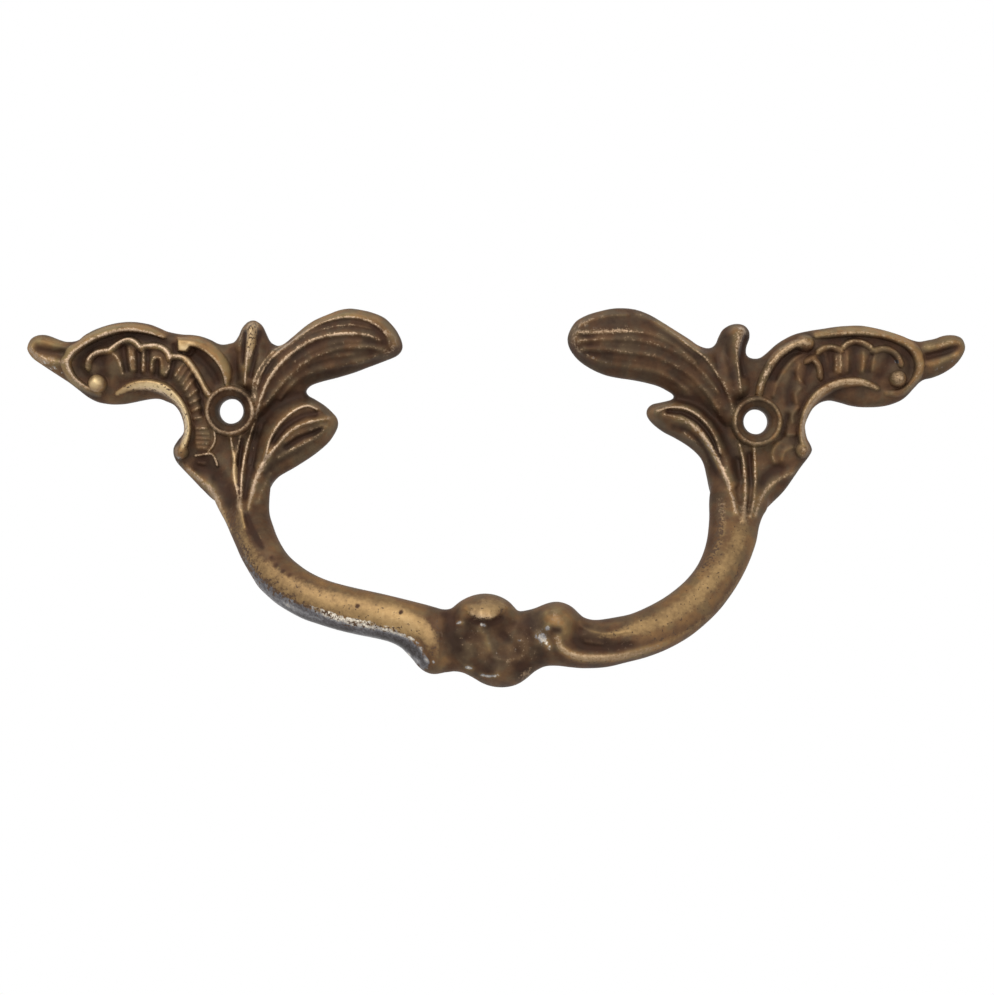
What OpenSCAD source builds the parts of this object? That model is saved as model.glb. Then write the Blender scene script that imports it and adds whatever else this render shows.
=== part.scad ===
// Drawer pull of rococo pattern, cast in brass as one piece.
// Two back plates, each a shell with leaves beside it, carry a bail with a knotted leaf boss in its middle.
// Shapes are drawn face on: x along the pull, y up, and z the depth in front of the drawer. The casting is
// stood up at the end, so that it hangs in X and Z and its front faces -Y. The origin lies midway between
// the two screw holes, on the back plane. Sizes are in millimetres.

/* [Fixing] */
// Distance between the two screw holes
screw_spacing = 80; // [76:0.5:90]
// Diameter of the screw holes
screw_hole_d = 3.8; // [3.2:0.1:4.4]
// Diameter of the screw seat where it opens inside the ring
screw_seat_d = 5.4; // [5:0.1:5.8]
// Depth of the conical screw seat below the crest of the ring
screw_seat_depth = 2.2; // [1.4:0.1:2.8]

/* [Plates] */
// Length of one plate from the tip of its tail to the tip of its leaf
plate_length = 57; // [54:0.5:60]
// Thickness of a plate at its rim
rim_thickness = 1.7; // [1.3:0.1:2.2]
// Height of the leaves in front of the drawer
leaf_height = 4.1; // [3.6:0.1:4.8]
// Height of the floor of the shell in front of the drawer
shell_floor = 2.1; // [1.8:0.1:2.5]
// Height of the fluted fan in front of the drawer
fan_height = 3.2; // [2.8:0.1:3.6]
// Height of the bud in front of the drawer
bud_height = 3.4; // [3:0.1:3.8]
// Height of the foot, where the bail leaves the plate, in front of the drawer
foot_height = 4.1; // [3.7:0.1:4.5]
// Height of the two ridges of the tail in front of the drawer
tail_height = 3.2; // [2.8:0.1:3.6]
// Depth of the grooves between the ribs of a leaf
rib_depth = 0.55; // [0.3:0.05:0.8]

/* [Ring] */
// Diameter of the crest of the ring around each screw hole
ring_d = 6.6; // [6.4:0.1:7.2]
// Width of the ring's bead
ring_bead_w = 1.1; // [0.8:0.1:1.3]
// Height of the ring's crest in front of the drawer
ring_height = 4.3; // [3.9:0.1:4.8]

/* [Beads] */
// Width of the bead along the rim of the shell
rim_bead_w = 1.7; // [1.3:0.1:2]
// Height of the rim bead in front of the drawer
rim_bead_height = 3.5; // [3:0.1:4]
// Width of the scrolls
scroll_w = 1.5; // [1.2:0.1:1.8]
// Height of the scrolls in front of the drawer
scroll_height = 4; // [3.6:0.1:4.4]
// Width of the thin ridges
ridge_w = 0.9; // [0.7:0.05:1.1]
// Height of the thin ridges above what they run over
ridge_rise = 0.3; // [0.2:0.05:0.5]
// Diameter of the ball at the end of the rim bead
ball_d = 2.6; // [2.2:0.1:3]
// Height of the ball in front of the drawer
ball_height = 4.2; // [3.8:0.1:4.6]

/* [Bail] */
// Drop of the bail's middle line below the screw holes
bail_drop = 32.5; // [30:0.5:38]
// Distance of the bail's middle line in front of the drawer, at the boss
bail_projection = 20; // [17:0.5:24]
// Width of the bail's arms, seen face on
bail_w = 6.2; // [5.4:0.1:7]
// Thickness of the bail's arms, seen from above
bail_thickness = 6.4; // [5.6:0.1:7.2]

/* [Boss] */
// Height of the boss in front of the bail's middle line
boss_rise = 5.4; // [4.6:0.1:6]
// Diameter of the round knobs of the boss
knob_d = 7; // [6.2:0.1:7.8]

/* [Hidden] */

// Sizes at which the lists of points below are drawn
drawn_spacing = 80;
drawn_plate_length = 57;
drawn_drop = 32.5;
drawn_projection = 20;
drawn_bail_w = 6.2;

// The bail leaves the plates at this place, and what lies above it belongs to the plates
foot_x = 33;
foot_y = -9;
foot_depth = 2.6;
// The stem ridges run over the bail's first stations, up to this one
stem_end = 5;

plate_scale = plate_length / drawn_plate_length;
casting_depth = bail_projection + boss_rise;
screw_hole_r = screw_hole_d / 2;
screw_seat_r = screw_seat_d / 2;
cut_overlap = 1;
brass = [0.56, 0.44, 0.29];

// A bead's section turns from its crest to its flank at this share of its half width, and lies lower there
// by this share of its width. Its foot lies at this height, inside the plate.
bead_shoulder = 0.72;
bead_drop = 0.28;
bead_foot = rim_thickness / 2;

// Ribs of each leaf
left_upper_ribs = 4;
left_lower_ribs = 3;
right_upper_ribs = 5;
right_lower_ribs = 3;

// Facets of the round forms of the casting
bail_sides = 12;
knob_facets = 14;
ball_facets = 10;
ring_facets = 30;
ring_section_facets = 6;
hole_facets = 48;

// A form is a list of stations from its root to its tip: one edge, the other edge, and the height between
// them. Every plate is drawn about its own screw hole.
left_shell = [
    [1.5, 9, -1, -12.2, 0], [-1.8, 10.2, -6.2, -9.9, 0], [-2.9, 10.6, -7.8, -8.4, 0],
    [-4, 11.1, -8.6, -7, 0], [-6.5, 11.6, -7.6, -2.8, 0], [-9, 11.7, -8.5, 0, 0],
    [-12, 12.7, -10.2, 1.4, 0], [-15.5, 13.2, -13.5, 1.5, 0], [-19, 12.7, -17.3, 0.8, 0],
    [-22, 11.5, -20.5, 1.1, 0], [-24.3, 10.3, -23.4, 2.9, 0], [-26.5, 10.4, -26.3, 5.2, 0],
    [-29, 11, -29, 6.8, 0], [-30.5, 10.5, -30.5, 7.7, -0.4], [-31.3, 9.7, -31.3, 8.7, -1]
];
left_fan = [
    [-21.9, 6.6, -20.2, 5.2, -0.4], [-20.3, 8.8, -18, 5.2, 0], [-18.4, 8.9, -16.6, 4.6, -0.7],
    [-15.8, 10.5, -14.8, 5, 0], [-13.7, 9.5, -12.9, 4.9, -0.7], [-11.3, 9.7, -11, 4.7, 0],
    [-9.1, 7.9, -9.2, 4, -0.7], [-6.3, 7.6, -7.2, 2.6, 0], [-4.7, 5, -6.2, 0.6, -0.3],
    [-3.7, 2.4, -5.2, -1.4, -0.1], [-3.4, -1.5, -5.4, -3.5, -0.4], [-2.9, -3.5, -5, -5.5, -0.2]
];
left_bud = [
    [1, 2.5, 4.5, 2.5, -0.3], [0, 6.5, 5.8, 6.5, -0.3], [0.4, 10, 6.4, 10, -0.1],
    [0.9, 11.2, 5.3, 11.2, 0], [1.4, 12.6, 4.8, 12.6, 0], [2.3, 13.7, 3.8, 13.7, -0.7]
];
left_upper_leaf = [
    [2.5, -5, 6, -7.5, -0.5], [3.2, -0.5, 7.5, -3, -0.3], [3.8, 4, 8.8, 0.5, -0.3],
    [5.2, 8, 10, 2.8, -0.3], [7, 10.2, 11.4, 3.5, -0.3], [9.5, 12, 13.3, 4.7, -0.2],
    [12.5, 14.3, 16, 5.5, 0], [16, 15.8, 18.5, 6.3, 0], [19, 16, 21, 7.2, 0], [22, 15.2, 23, 8.1, -0.2],
    [24.4, 13.5, 24.7, 8.9, -0.6], [25.6, 11.6, 25.7, 9.9, -1.4]
];
left_lower_leaf = [
    [3, -13.6, 5.7, -13, 0.3], [3.8, -11, 6.6, -11, 0.1], [4.6, -8, 7.6, -9.7, 0.1],
    [5.8, -4.5, 10, -8.2, 0.1], [7.4, -1.5, 12.5, -6.5, 0.1], [9.3, 0.9, 14.3, -4.9, 0],
    [11.6, 2.7, 15.6, -3.5, -0.2], [13.6, 1.5, 16.2, -2.2, -0.8], [15.2, 0.3, 16.1, -1, -1.5]
];
left_foot = [
    [-4.5, -2, 4, -2, -1], [-6.5, -6, 5, -6, -0.8], [-6.2, -9.9, 6.6, -9.6, -0.3],
    [-4.3, -11.8, 6.8, -10.8, 0.3], [-2.4, -13.6, 6.3, -13, 1.1]
];

right_shell = [
    [-2.5, 9, 1, -12.2, 0], [0.8, 9.9, 5.4, -9, 0], [2.5, 11.4, 8.1, -5.2, 0], [4.8, 13.1, 8, -2.2, 0],
    [7.5, 14, 8.4, 0.9, 0], [10.5, 14.5, 10, 3.1, 0], [13.5, 15, 13, 3.2, 0], [16.5, 15, 16.5, 2.6, 0],
    [19.5, 14.4, 19.8, 2.9, 0], [22, 13.7, 22.6, 4, 0], [24.6, 12.9, 25.2, 6.6, 0],
    [27, 13.3, 27.3, 7.4, 0], [29.5, 13.9, 29.6, 9, 0], [31.1, 13.4, 31.2, 10.4, -0.4],
    [31.8, 12.6, 31.8, 11.4, -1]
];
right_fan = [
    [21.5, 9.2, 20, 7.2, -0.4], [19.5, 11.6, 18.4, 7.4, 0], [17.2, 11.3, 16.6, 7.2, -0.7],
    [15.2, 12.6, 14.8, 7.2, 0], [12.8, 11.2, 12.8, 6.8, -0.7], [10.8, 11.6, 10.8, 6.4, 0],
    [8.8, 10.4, 9.4, 5.4, -0.5], [7.2, 8.8, 7.8, 3.6, -0.2], [5.4, 6.4, 6.6, 1.6, -0.5],
    [4, 3, 5.8, -0.6, -0.4], [3.6, -1, 5.8, -3, -0.6], [3, -3.6, 5.2, -5.4, -0.5]
];
right_bud = [
    [-4, 2.5, -1, 2.8, -0.3], [-5.8, 7, -0.9, 7, -0.3], [-7, 11.1, -1.3, 10, -0.1],
    [-5.9, 12.6, -1.6, 11.6, 0], [-5.2, 13.9, -1.4, 13.4, 0], [-4.1, 14.8, -2.1, 14.7, -0.7]
];
right_upper_leaf = [
    [-2.8, -4, -4.2, -7, -0.5], [-3.4, 0, -6.3, -3.2, -0.3], [-3.8, 4, -9.2, 0.8, -0.3],
    [-5, 8, -11.5, 3, -0.3], [-7.7, 11.2, -13.2, 4.2, -0.3], [-10.5, 12.6, -15.5, 5.4, -0.2],
    [-13.5, 14.4, -18, 5.9, 0], [-16.5, 16.1, -20, 6.2, 0.1], [-19.5, 17, -22.5, 6.6, 0.2],
    [-22.5, 16.9, -25, 7.5, 0.1], [-25.5, 16, -27, 8.8, -0.2], [-27.9, 14.5, -28.1, 10, -0.7],
    [-28.8, 12.9, -28.8, 11.6, -1.5]
];
right_lower_leaf = [
    [-2.5, -13.6, -6.2, -13.2, 0.4], [-2.9, -11, -6.9, -11, 0.2], [-3.6, -8, -7.3, -8.5, 0.2],
    [-4.6, -4.5, -8, -6, 0.2], [-6.5, -1, -10, -4, 0.1], [-9, 1.7, -12, -2.8, 0],
    [-12.3, 3.2, -14, -1.8, -0.2], [-14.5, 2.7, -15.5, -0.7, -0.6], [-16.2, 1.8, -16.4, 0.4, -1.4]
];
right_foot = [
    [-4, -2, 4.5, -2, -1], [-5.5, -6, 6.3, -6, -0.8], [-7.1, -9.5, 4.9, -9.5, -0.3],
    [-7, -11, 3.6, -11, 0.3], [-6.9, -13, 2.2, -12.8, 1.1]
];

// Webs that close a plate between its forms
left_web = [
    [-3, 9.9], [-1.2, 10.3], [-0.2, 10.7], [5.8, 10.9], [7.2, 10], [9, 11], [11.2, 3.3], [13, 1.5],
    [3, -8], [-4, -6]
];
right_web = [
    [-9, 11.3], [-7.6, 11], [-6.6, 11.2], [-1.8, 10.7], [-0.5, 9.6], [1, 9.8], [4, -6], [-3, -8],
    [-13, 1.5], [-12.4, 3.6]
];

// Crest lines of the beads
left_rim = [
    [-10.7, 11.1], [-12.5, 11.8], [-15, 12.1], [-17.5, 11.8], [-20, 11.1], [-22.3, 9.8], [-24, 8.4],
    [-24.7, 6.8], [-24.4, 5.2], [-23.2, 3.8], [-21.6, 2.9]
];
left_inner_scroll = [
    [-17, 2.5], [-15.5, 3.5], [-13.5, 4.1], [-11.5, 3.8], [-9.5, 2.9], [-8, 1.6], [-6.9, -0.3],
    [-6.4, -2.2], [-6.5, -4.2], [-7, -5.6], [-7.4, -6.4]
];
left_outer_scroll = [[-7.5, 10], [-5.8, 10], [-4.2, 9.4], [-2.8, 8.3], [-1.7, 7], [-1, 5.4], [-0.7, 3.8]];
left_scallops = [
    [[-21.9, 6.4], [-21.9, 7.4], [-21.2, 8.3], [-20, 8.8], [-18.6, 8.9]],
    [[-18.4, 9], [-17.2, 10.2], [-15.8, 10.5], [-14.6, 10.1], [-13.8, 9.4]],
    [[-13.6, 9.7], [-12, 9.8], [-10.6, 9.3], [-9.6, 8.2], [-9.2, 7.4]],
    [[-9, 8.2], [-7.5, 8.2], [-6.2, 7.5], [-5.2, 6], [-4.4, 4.2], [-3.7, 2.4]]
];
left_balls = [[-20.5, 3.5], [-7.4, -6.2]];
left_bud_ridge = [[2.8, 12.7], [2.4, 10.8], [2.2, 8.8], [2.2, 6.5], [2.3, 4.2]];
left_tail_ridges = [
    [[-30.2, 9.6], [-28.8, 10.2], [-27, 9.9], [-25.2, 9.4]],
    [[-30.2, 8.6], [-28.8, 7.6], [-27, 7.1], [-25.2, 6.8]]
];
left_foot_ridge = [[-6.4, -8.6], [-4.9, -9.7], [-3.4, -11], [-2.2, -12.5]];
left_stem_ridges = [
    [[2.6, -3.5], [2.2, -6.5], [1.9, -9.5], [1.9, -12.5], [2.5, -15.5]],
    [[-0.1, -3.6], [0.4, -6], [0.7, -8.5], [0.9, -11], [1.6, -14]],
    [[5.6, -7.2], [5, -9], [4.3, -11], [3.9, -13], [3.9, -15]]
];

right_rim = [
    [8.6, 13.7], [12.5, 14.1], [16, 14.2], [19, 13.8], [21.4, 13], [23.3, 11.8], [24.3, 10.2],
    [24.6, 8.4], [24.2, 6.8]
];
right_inner_scroll = [
    [18.2, 5.4], [16.5, 6.4], [14.5, 6.5], [12.5, 6.2], [10.5, 5.6], [9, 4.3], [7.8, 2.4], [7.2, 0.3],
    [7, -1.8], [7.3, -3.6], [7.5, -4.4]
];
right_outer_scroll = [[0.1, 4], [0.8, 6], [2, 8.2], [3.5, 10.3], [5, 11.7], [6.3, 12.4], [7.2, 12.2]];
right_scallops = [
    [[21.5, 9.4], [21, 10.5], [20, 11.4], [18.6, 11.7], [17.3, 11.2]],
    [[17.3, 11.7], [16.5, 12.3], [15.3, 12.6], [14, 12.4], [13, 11.7]],
    [[12.6, 11.1], [11.4, 11.6], [9.9, 11.4], [8.8, 10.6]]
];
right_balls = [[21.3, 6.6], [7.4, -4], [7, 12.2]];
right_bud_ridge = [[-2.6, 13.8], [-3.4, 12.4], [-3.6, 10.6], [-3.4, 8.5], [-3, 6.4], [-2.6, 4.6]];
right_tail_ridges = [
    [[30.2, 12.7], [29, 12.6], [27.2, 12.2], [25.2, 12]],
    [[30, 10.6], [28, 9.6], [26.2, 9.1]]
];
right_foot_ridge = [[5.5, -7.8], [3.7, -8.7], [2.4, -9.8], [1.4, -11.2]];
right_stem_ridges = [
    [[-2.3, -3.5], [-1.8, -6], [-1.6, -9], [-1.8, -12], [-2.3, -15]],
    [[-0.3, -4], [-0.1, -7], [-0.1, -9.5], [-0.4, -12], [-0.8, -14]],
    [[-5.5, -6.6], [-4.6, -8.8], [-3.9, -11.2], [-3.4, -13.8], [-3.2, -16]]
];

// Stations of the bail from the left plate to the right one: its inner edge, its outer edge, the depth of
// its middle line, and its thickness as a share of the arms' thickness
bail_stations = [
    [-34, -7.6, -43, -9.6, 1.6, 0.55], [-33.6, -10.6, -42.6, -13, 2.6, 0.75],
    [-33.7, -13.8, -40.9, -15.6, 5, 0.92], [-33, -16.5, -39.3, -18.3, 7.6, 0.97],
    [-31.8, -19, -37.7, -21.1, 10.1, 1], [-29.7, -21.6, -35.5, -24.4, 12.5, 1],
    [-27.3, -23.5, -32.1, -27.9, 14.8, 1], [-23.9, -25, -27.5, -30.6, 16.6, 1],
    [-20, -25.9, -22.3, -32, 17.9, 1], [-15, -26.9, -16.5, -33.1, 18.9, 1],
    [-10.5, -27.9, -12.3, -34.5, 19.5, 1.04], [-7.7, -28.5, -9.6, -37, 19.8, 1.1],
    [-5.5, -28.3, -6.5, -37.9, 20, 1.05], [-3.5, -27.4, -4, -37.7, 20, 1.05],
    [-0.5, -26.9, -1, -38.8, 20, 1.1], [2, -27.4, 2, -39.4, 20, 1.1], [4.3, -28.5, 5, -38.4, 20, 1.05],
    [7, -28.2, 7.7, -36.8, 20, 1.05], [9.8, -27.7, 10, -36.4, 20, 1.1],
    [12.5, -28.8, 12.3, -36.6, 19.9, 1.06], [14.8, -29.7, 15, -36.8, 19.7, 1.02],
    [18, -29.5, 19, -36.3, 19, 1], [21.9, -28.4, 24.2, -34.8, 17.9, 1], [25.8, -26.3, 29.3, -32.2, 16, 1],
    [28.8, -23.8, 33.5, -28.7, 13.7, 1], [31.1, -20.8, 36.9, -24.2, 11, 1],
    [32.5, -17.4, 39, -19.7, 8.2, 0.97], [33.1, -14, 40.4, -15.3, 5.3, 0.92],
    [33, -10.8, 42.4, -12, 2.6, 0.75], [33.6, -7.6, 43.4, -9, 1.6, 0.55]
];

// Knobs of the boss: their middle face on, and their width, height and front as shares of a full knob
knobs = [
    [-0.6, -29.3, 1.2, 0.84, 1], [9.8, -30.1, 0.84, 0.8, 0.84], [1.6, -36.8, 1.05, 0.88, 0.78],
    [-7.9, -34.4, 0.7, 0.98, 0.72]
];

// Smooth line through a list of points, with the given number of steps between two of them
function spline(points, steps) = [
    for (i = [0 : len(points) - 2])
        for (s = [0 : steps - 1])
            let (
                a = points[max(i - 1, 0)],
                b = points[i],
                c = points[i + 1],
                d = points[min(i + 2, len(points) - 1)],
                t = s / steps,
                square = (2 * a - 5 * b + 4 * c - d) * t * t,
                cube = (3 * b - a - 3 * c + d) * t * t * t
            )
            b + ((c - a) * t + square + cube) / 2,
    points[len(points) - 1]
];

// Turn of the way from one flat direction to another, above zero to the left
function turn(u, v) = u[0] * v[1] - u[1] * v[0];

// Direction square to a line of points at one of them, to its left
function left_of(points, i) =
    let (
        a = points[max(i - 1, 0)],
        b = points[min(i + 1, len(points) - 1)],
        run = [b[0] - a[0], b[1] - a[1]]
    )
    [-run[1], run[0]] / norm(run);

// Faces of a solid lofted over rings of n points
function loft_faces(rings, n) = concat(
    [[for (j = [n - 1 : -1 : 0]) j]],
    [
        for (i = [0 : rings - 2])
            for (j = [0 : n - 1])
                let (
                    a = i * n + j,
                    b = i * n + (j + 1) % n
                )
                each [[a, b, b + n], [a, b + n, a + n]]
    ],
    [[for (j = [0 : n - 1]) (rings - 1) * n + j]]
);

// Solid lofted over a list of rings of points
module loft(rings) {
    points = [for (ring = rings) each ring];
    polyhedron(points, loft_faces(len(rings), len(rings[0])));
}

// Height over a form from one edge, u = 0, to the other, u = 1
function crown(u) = 1 - pow(abs(2 * u - 1), 3);
function grooves(u, ribs) = ribs == 0 ? 0 : rib_depth * (1 - cos(360 * ribs * u)) / -2 * crown(u);

// Form with flat back, rising from the rim at both edges to the height between them, with ribs along it
module form(stations, height, ribs = 0, across = 6, steps = 1) {
    drawn = spline(stations, steps);
    first = drawn[0];
    second = drawn[1];
    run = [second[0] + second[2] - first[0] - first[2], second[1] + second[3] - first[1] - first[3]];
    swap = turn(run, [first[2] - first[0], first[3] - first[1]]) < 0;
    rings = [
        for (s = drawn)
            let (
                a = swap ? [s[2], s[3]] : [s[0], s[1]],
                b = swap ? [s[0], s[1]] : [s[2], s[3]],
                top = max(height + s[4], rim_thickness)
            )
            [
                [a[0], a[1], 0],
                for (k = [0 : across])
                    let (
                        u = k / across,
                        p = a + (b - a) * u
                    )
                    [p[0], p[1], rim_thickness + (top - rim_thickness) * crown(u) + grooves(u, ribs)],
                [b[0], b[1], 0]
            ]
    ];
    loft(rings);
}

// Width of a bead along its length, narrower towards both ends
function bead_share(i, last) = min(1, 0.45 + 1.8 * min(i, last - i) / last);

// Section of a bead, from one flank over the crest to the other: share of the half width, and height
function bead_section(width, height) = [
    [-1, bead_foot - height],
    [-bead_shoulder, -bead_drop * width],
    [0, 0],
    [bead_shoulder, -bead_drop * width],
    [1, bead_foot - height]
];

// Rounded bead along a crest line. A third number of a point lifts the bead there.
module bead(crest, width, height) {
    last = len(crest) - 1;
    rings = [
        for (i = [0 : last])
            let (
                side = left_of(crest, i) * width / 2 * bead_share(i, last),
                lift = len(crest[i]) > 2 ? crest[i][2] : 0
            )
            [
                for (k = bead_section(width, height))
                    [crest[i][0] + side[0] * k[0], crest[i][1] + side[1] * k[0], height + lift + k[1]]
            ]
    ];
    loft(rings);
}

// Place of a bail station at the real spacing, drop, projection and width
function bail_x(x) = x + (screw_spacing - drawn_spacing) / 2 * max(-1, min(1, x / foot_x));
function bail_y(y) = y > foot_y ? y : foot_y + (y - foot_y) * (bail_drop + foot_y) / (drawn_drop + foot_y);
function bail_depth(d) =
    foot_depth + (d - foot_depth) * (bail_projection - foot_depth) / (drawn_projection - foot_depth);
function bail_station(s) =
    let (
        inner = [bail_x(s[0]), bail_y(s[1])],
        outer = [bail_x(s[2]), bail_y(s[3])],
        middle = (inner + outer) / 2,
        half = (outer - inner) / 2 * bail_w / drawn_bail_w
    )
    [middle[0], middle[1], half[0], half[1], bail_depth(s[4]), s[5] * bail_thickness / 2];

placed_bail = [for (s = bail_stations) bail_station(s)];

// Front of the bail at a height, on its left arm
function bail_front(y) = lookup(y, [for (i = [0 : stem_end]) let (s = placed_bail[i]) [s[1], s[4] + s[5]]]);

// Bail: an oval bar from plate to plate
module bail() {
    rings = [
        for (s = spline(placed_bail, 2))
            [
                for (k = [0 : bail_sides - 1])
                    let (angle = 360 * k / bail_sides)
                    [s[0] - s[2] * cos(angle), s[1] - s[3] * cos(angle), max(0, s[4] - s[5] * sin(angle))]
            ]
    ];
    loft(rings);
}

// Knotted leaf boss: round knobs that stand out of the bail's middle
module boss() {
    for (k = knobs)
        translate([k[0], bail_y(k[1]), bail_projection])
            scale([k[2] * knob_d / 2, k[3] * knob_d / 2, k[4] * boss_rise])
                sphere(r = 1, $fn = knob_facets);
}

// Ridge that runs down the stem and out onto the bail, following its front
module stem_ridge(line) {
    lifted = [for (p = line) [p[0], p[1], max(0, bail_front(plate_scale * p[1]) - foot_height)]];
    bead(lifted, ridge_w, foot_height + ridge_rise);
}

// Ring around a screw hole, with the boss that it stands on
module screw_ring() {
    section_height = ring_height - ring_bead_w / 2;
    cylinder(d = ring_d + ring_bead_w, h = section_height, $fn = ring_facets);
    translate([0, 0, section_height])
        rotate_extrude($fn = ring_facets)
            translate([ring_d / 2, 0])
                circle(d = ring_bead_w, $fn = ring_section_facets);
}

// One ball, with the stub that it grows from
module ball(place) {
    middle = ball_height - ball_d / 2;
    translate([place[0], place[1], 0]) {
        cylinder(d = ball_d, h = middle, $fn = ball_facets);
        translate([0, 0, middle])
            sphere(d = ball_d, $fn = ball_facets);
    }
}

// What both plates are built of: the web, the shell with its fan, the bud, two leaves and the foot, then the
// beads that stand on them
module plate(web, shell, fan, bud, upper_leaf, upper_ribs, lower_leaf, lower_ribs, foot) {
    linear_extrude(rim_thickness)
        polygon(web);
    form(shell, shell_floor, across = 4);
    form(fan, fan_height, across = 4);
    form(bud, bud_height);
    form(upper_leaf, leaf_height, ribs = upper_ribs, across = 2 * upper_ribs, steps = 2);
    form(lower_leaf, leaf_height, ribs = lower_ribs, across = 2 * lower_ribs, steps = 2);
    form(foot, foot_height);
}
module plate_beads(rim, scrolls, scallops, bud_ridge, tail_ridges, foot_ridge, stem_ridges, balls) {
    bead(rim, rim_bead_w, rim_bead_height);
    for (line = scrolls)
        bead(line, scroll_w, scroll_height);
    for (line = scallops)
        bead(line, ridge_w, fan_height + ridge_rise);
    bead(bud_ridge, scroll_w, bud_height + ridge_rise);
    for (line = tail_ridges)
        bead(line, rim_bead_w, tail_height);
    bead(foot_ridge, ridge_w, foot_height - ridge_rise);
    for (line = stem_ridges)
        stem_ridge(line);
    for (place = balls)
        ball(place);
}

// Left plate, drawn about its screw hole
module left_plate() {
    plate(
        left_web, left_shell, left_fan, left_bud, left_upper_leaf, left_upper_ribs, left_lower_leaf,
        left_lower_ribs, left_foot
    );
    plate_beads(
        left_rim, [left_inner_scroll, left_outer_scroll], left_scallops, left_bud_ridge,
        left_tail_ridges, left_foot_ridge, left_stem_ridges, left_balls
    );
}

// Right plate, drawn about its screw hole. It has a pattern of its own and is no mirror image.
module right_plate() {
    plate(
        right_web, right_shell, right_fan, right_bud, right_upper_leaf, right_upper_ribs, right_lower_leaf,
        right_lower_ribs, right_foot
    );
    plate_beads(
        right_rim, [right_inner_scroll, right_outer_scroll], right_scallops, right_bud_ridge,
        right_tail_ridges, right_foot_ridge, right_stem_ridges, right_balls
    );
}

// Puts something at a screw hole: -1 for the left one, 1 for the right one
module at_screw(side) {
    translate([side * screw_spacing / 2, 0, 0])
        children();
}

// Both screw holes with their conical seats
module screw_holes() {
    for (side = [-1, 1])
        at_screw(side) {
            translate([0, 0, -cut_overlap])
                cylinder(r = screw_hole_r, h = ring_height + 2 * cut_overlap, $fn = hole_facets);
            translate([0, 0, ring_height - screw_seat_depth])
                cylinder(r1 = screw_hole_r, r2 = screw_seat_r, h = screw_seat_depth, $fn = hole_facets);
        }
}

// The whole casting, stood up. Its facets stop a hair short of the round boss, so its depth is set.
module cast_pull() {
    color(brass)
        rotate([90, 0, 0])
            difference() {
                resize([0, 0, casting_depth]) {
                    at_screw(-1) {
                        scale([plate_scale, plate_scale, 1])
                            left_plate();
                        screw_ring();
                    }
                    at_screw(1) {
                        scale([plate_scale, plate_scale, 1])
                            right_plate();
                        screw_ring();
                    }
                    bail();
                    boss();
                }
                screw_holes();
            }
}

cast_pull();
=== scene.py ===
"""Looks of a cast brass drawer pull of rococo pattern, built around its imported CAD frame."""

import math

import bpy
from mathutils import Euler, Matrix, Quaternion, Vector


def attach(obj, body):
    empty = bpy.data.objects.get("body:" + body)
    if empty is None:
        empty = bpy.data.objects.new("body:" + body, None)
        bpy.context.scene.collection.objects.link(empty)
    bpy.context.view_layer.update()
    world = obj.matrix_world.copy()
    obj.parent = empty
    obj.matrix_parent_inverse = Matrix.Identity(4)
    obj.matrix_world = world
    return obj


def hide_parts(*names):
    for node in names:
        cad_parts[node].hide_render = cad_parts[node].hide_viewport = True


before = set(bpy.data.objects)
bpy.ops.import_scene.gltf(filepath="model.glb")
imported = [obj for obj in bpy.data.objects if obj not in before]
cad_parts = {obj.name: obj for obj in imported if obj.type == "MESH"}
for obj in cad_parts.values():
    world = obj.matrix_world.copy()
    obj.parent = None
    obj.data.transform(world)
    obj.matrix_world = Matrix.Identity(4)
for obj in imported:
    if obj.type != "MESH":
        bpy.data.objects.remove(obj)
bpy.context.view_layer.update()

MM = 0.001
PHOTO_WIDTH = 994
MM_PER_PIXEL = 0.1534
CAMERA_AT = (0.785, -340, -12.34)
CAMERA_ROLL = 1.15
SENSOR = 36

camera = bpy.data.objects.new("camera", bpy.data.cameras.new("camera"))
camera.data.sensor_width = SENSOR
camera.data.lens = SENSOR * -CAMERA_AT[1] / (PHOTO_WIDTH * MM_PER_PIXEL)
camera.data.clip_start = 10 * MM
camera.location = Vector(CAMERA_AT) * MM
camera.rotation_mode = "QUATERNION"
upright = Euler((math.radians(90), 0, 0)).to_quaternion()
camera.rotation_quaternion = Quaternion((0, 1, 0), math.radians(-CAMERA_ROLL)) @ upright
scene = bpy.context.scene
scene.collection.objects.link(camera)
scene.camera = camera
scene.view_settings.view_transform = "Standard"


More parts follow.
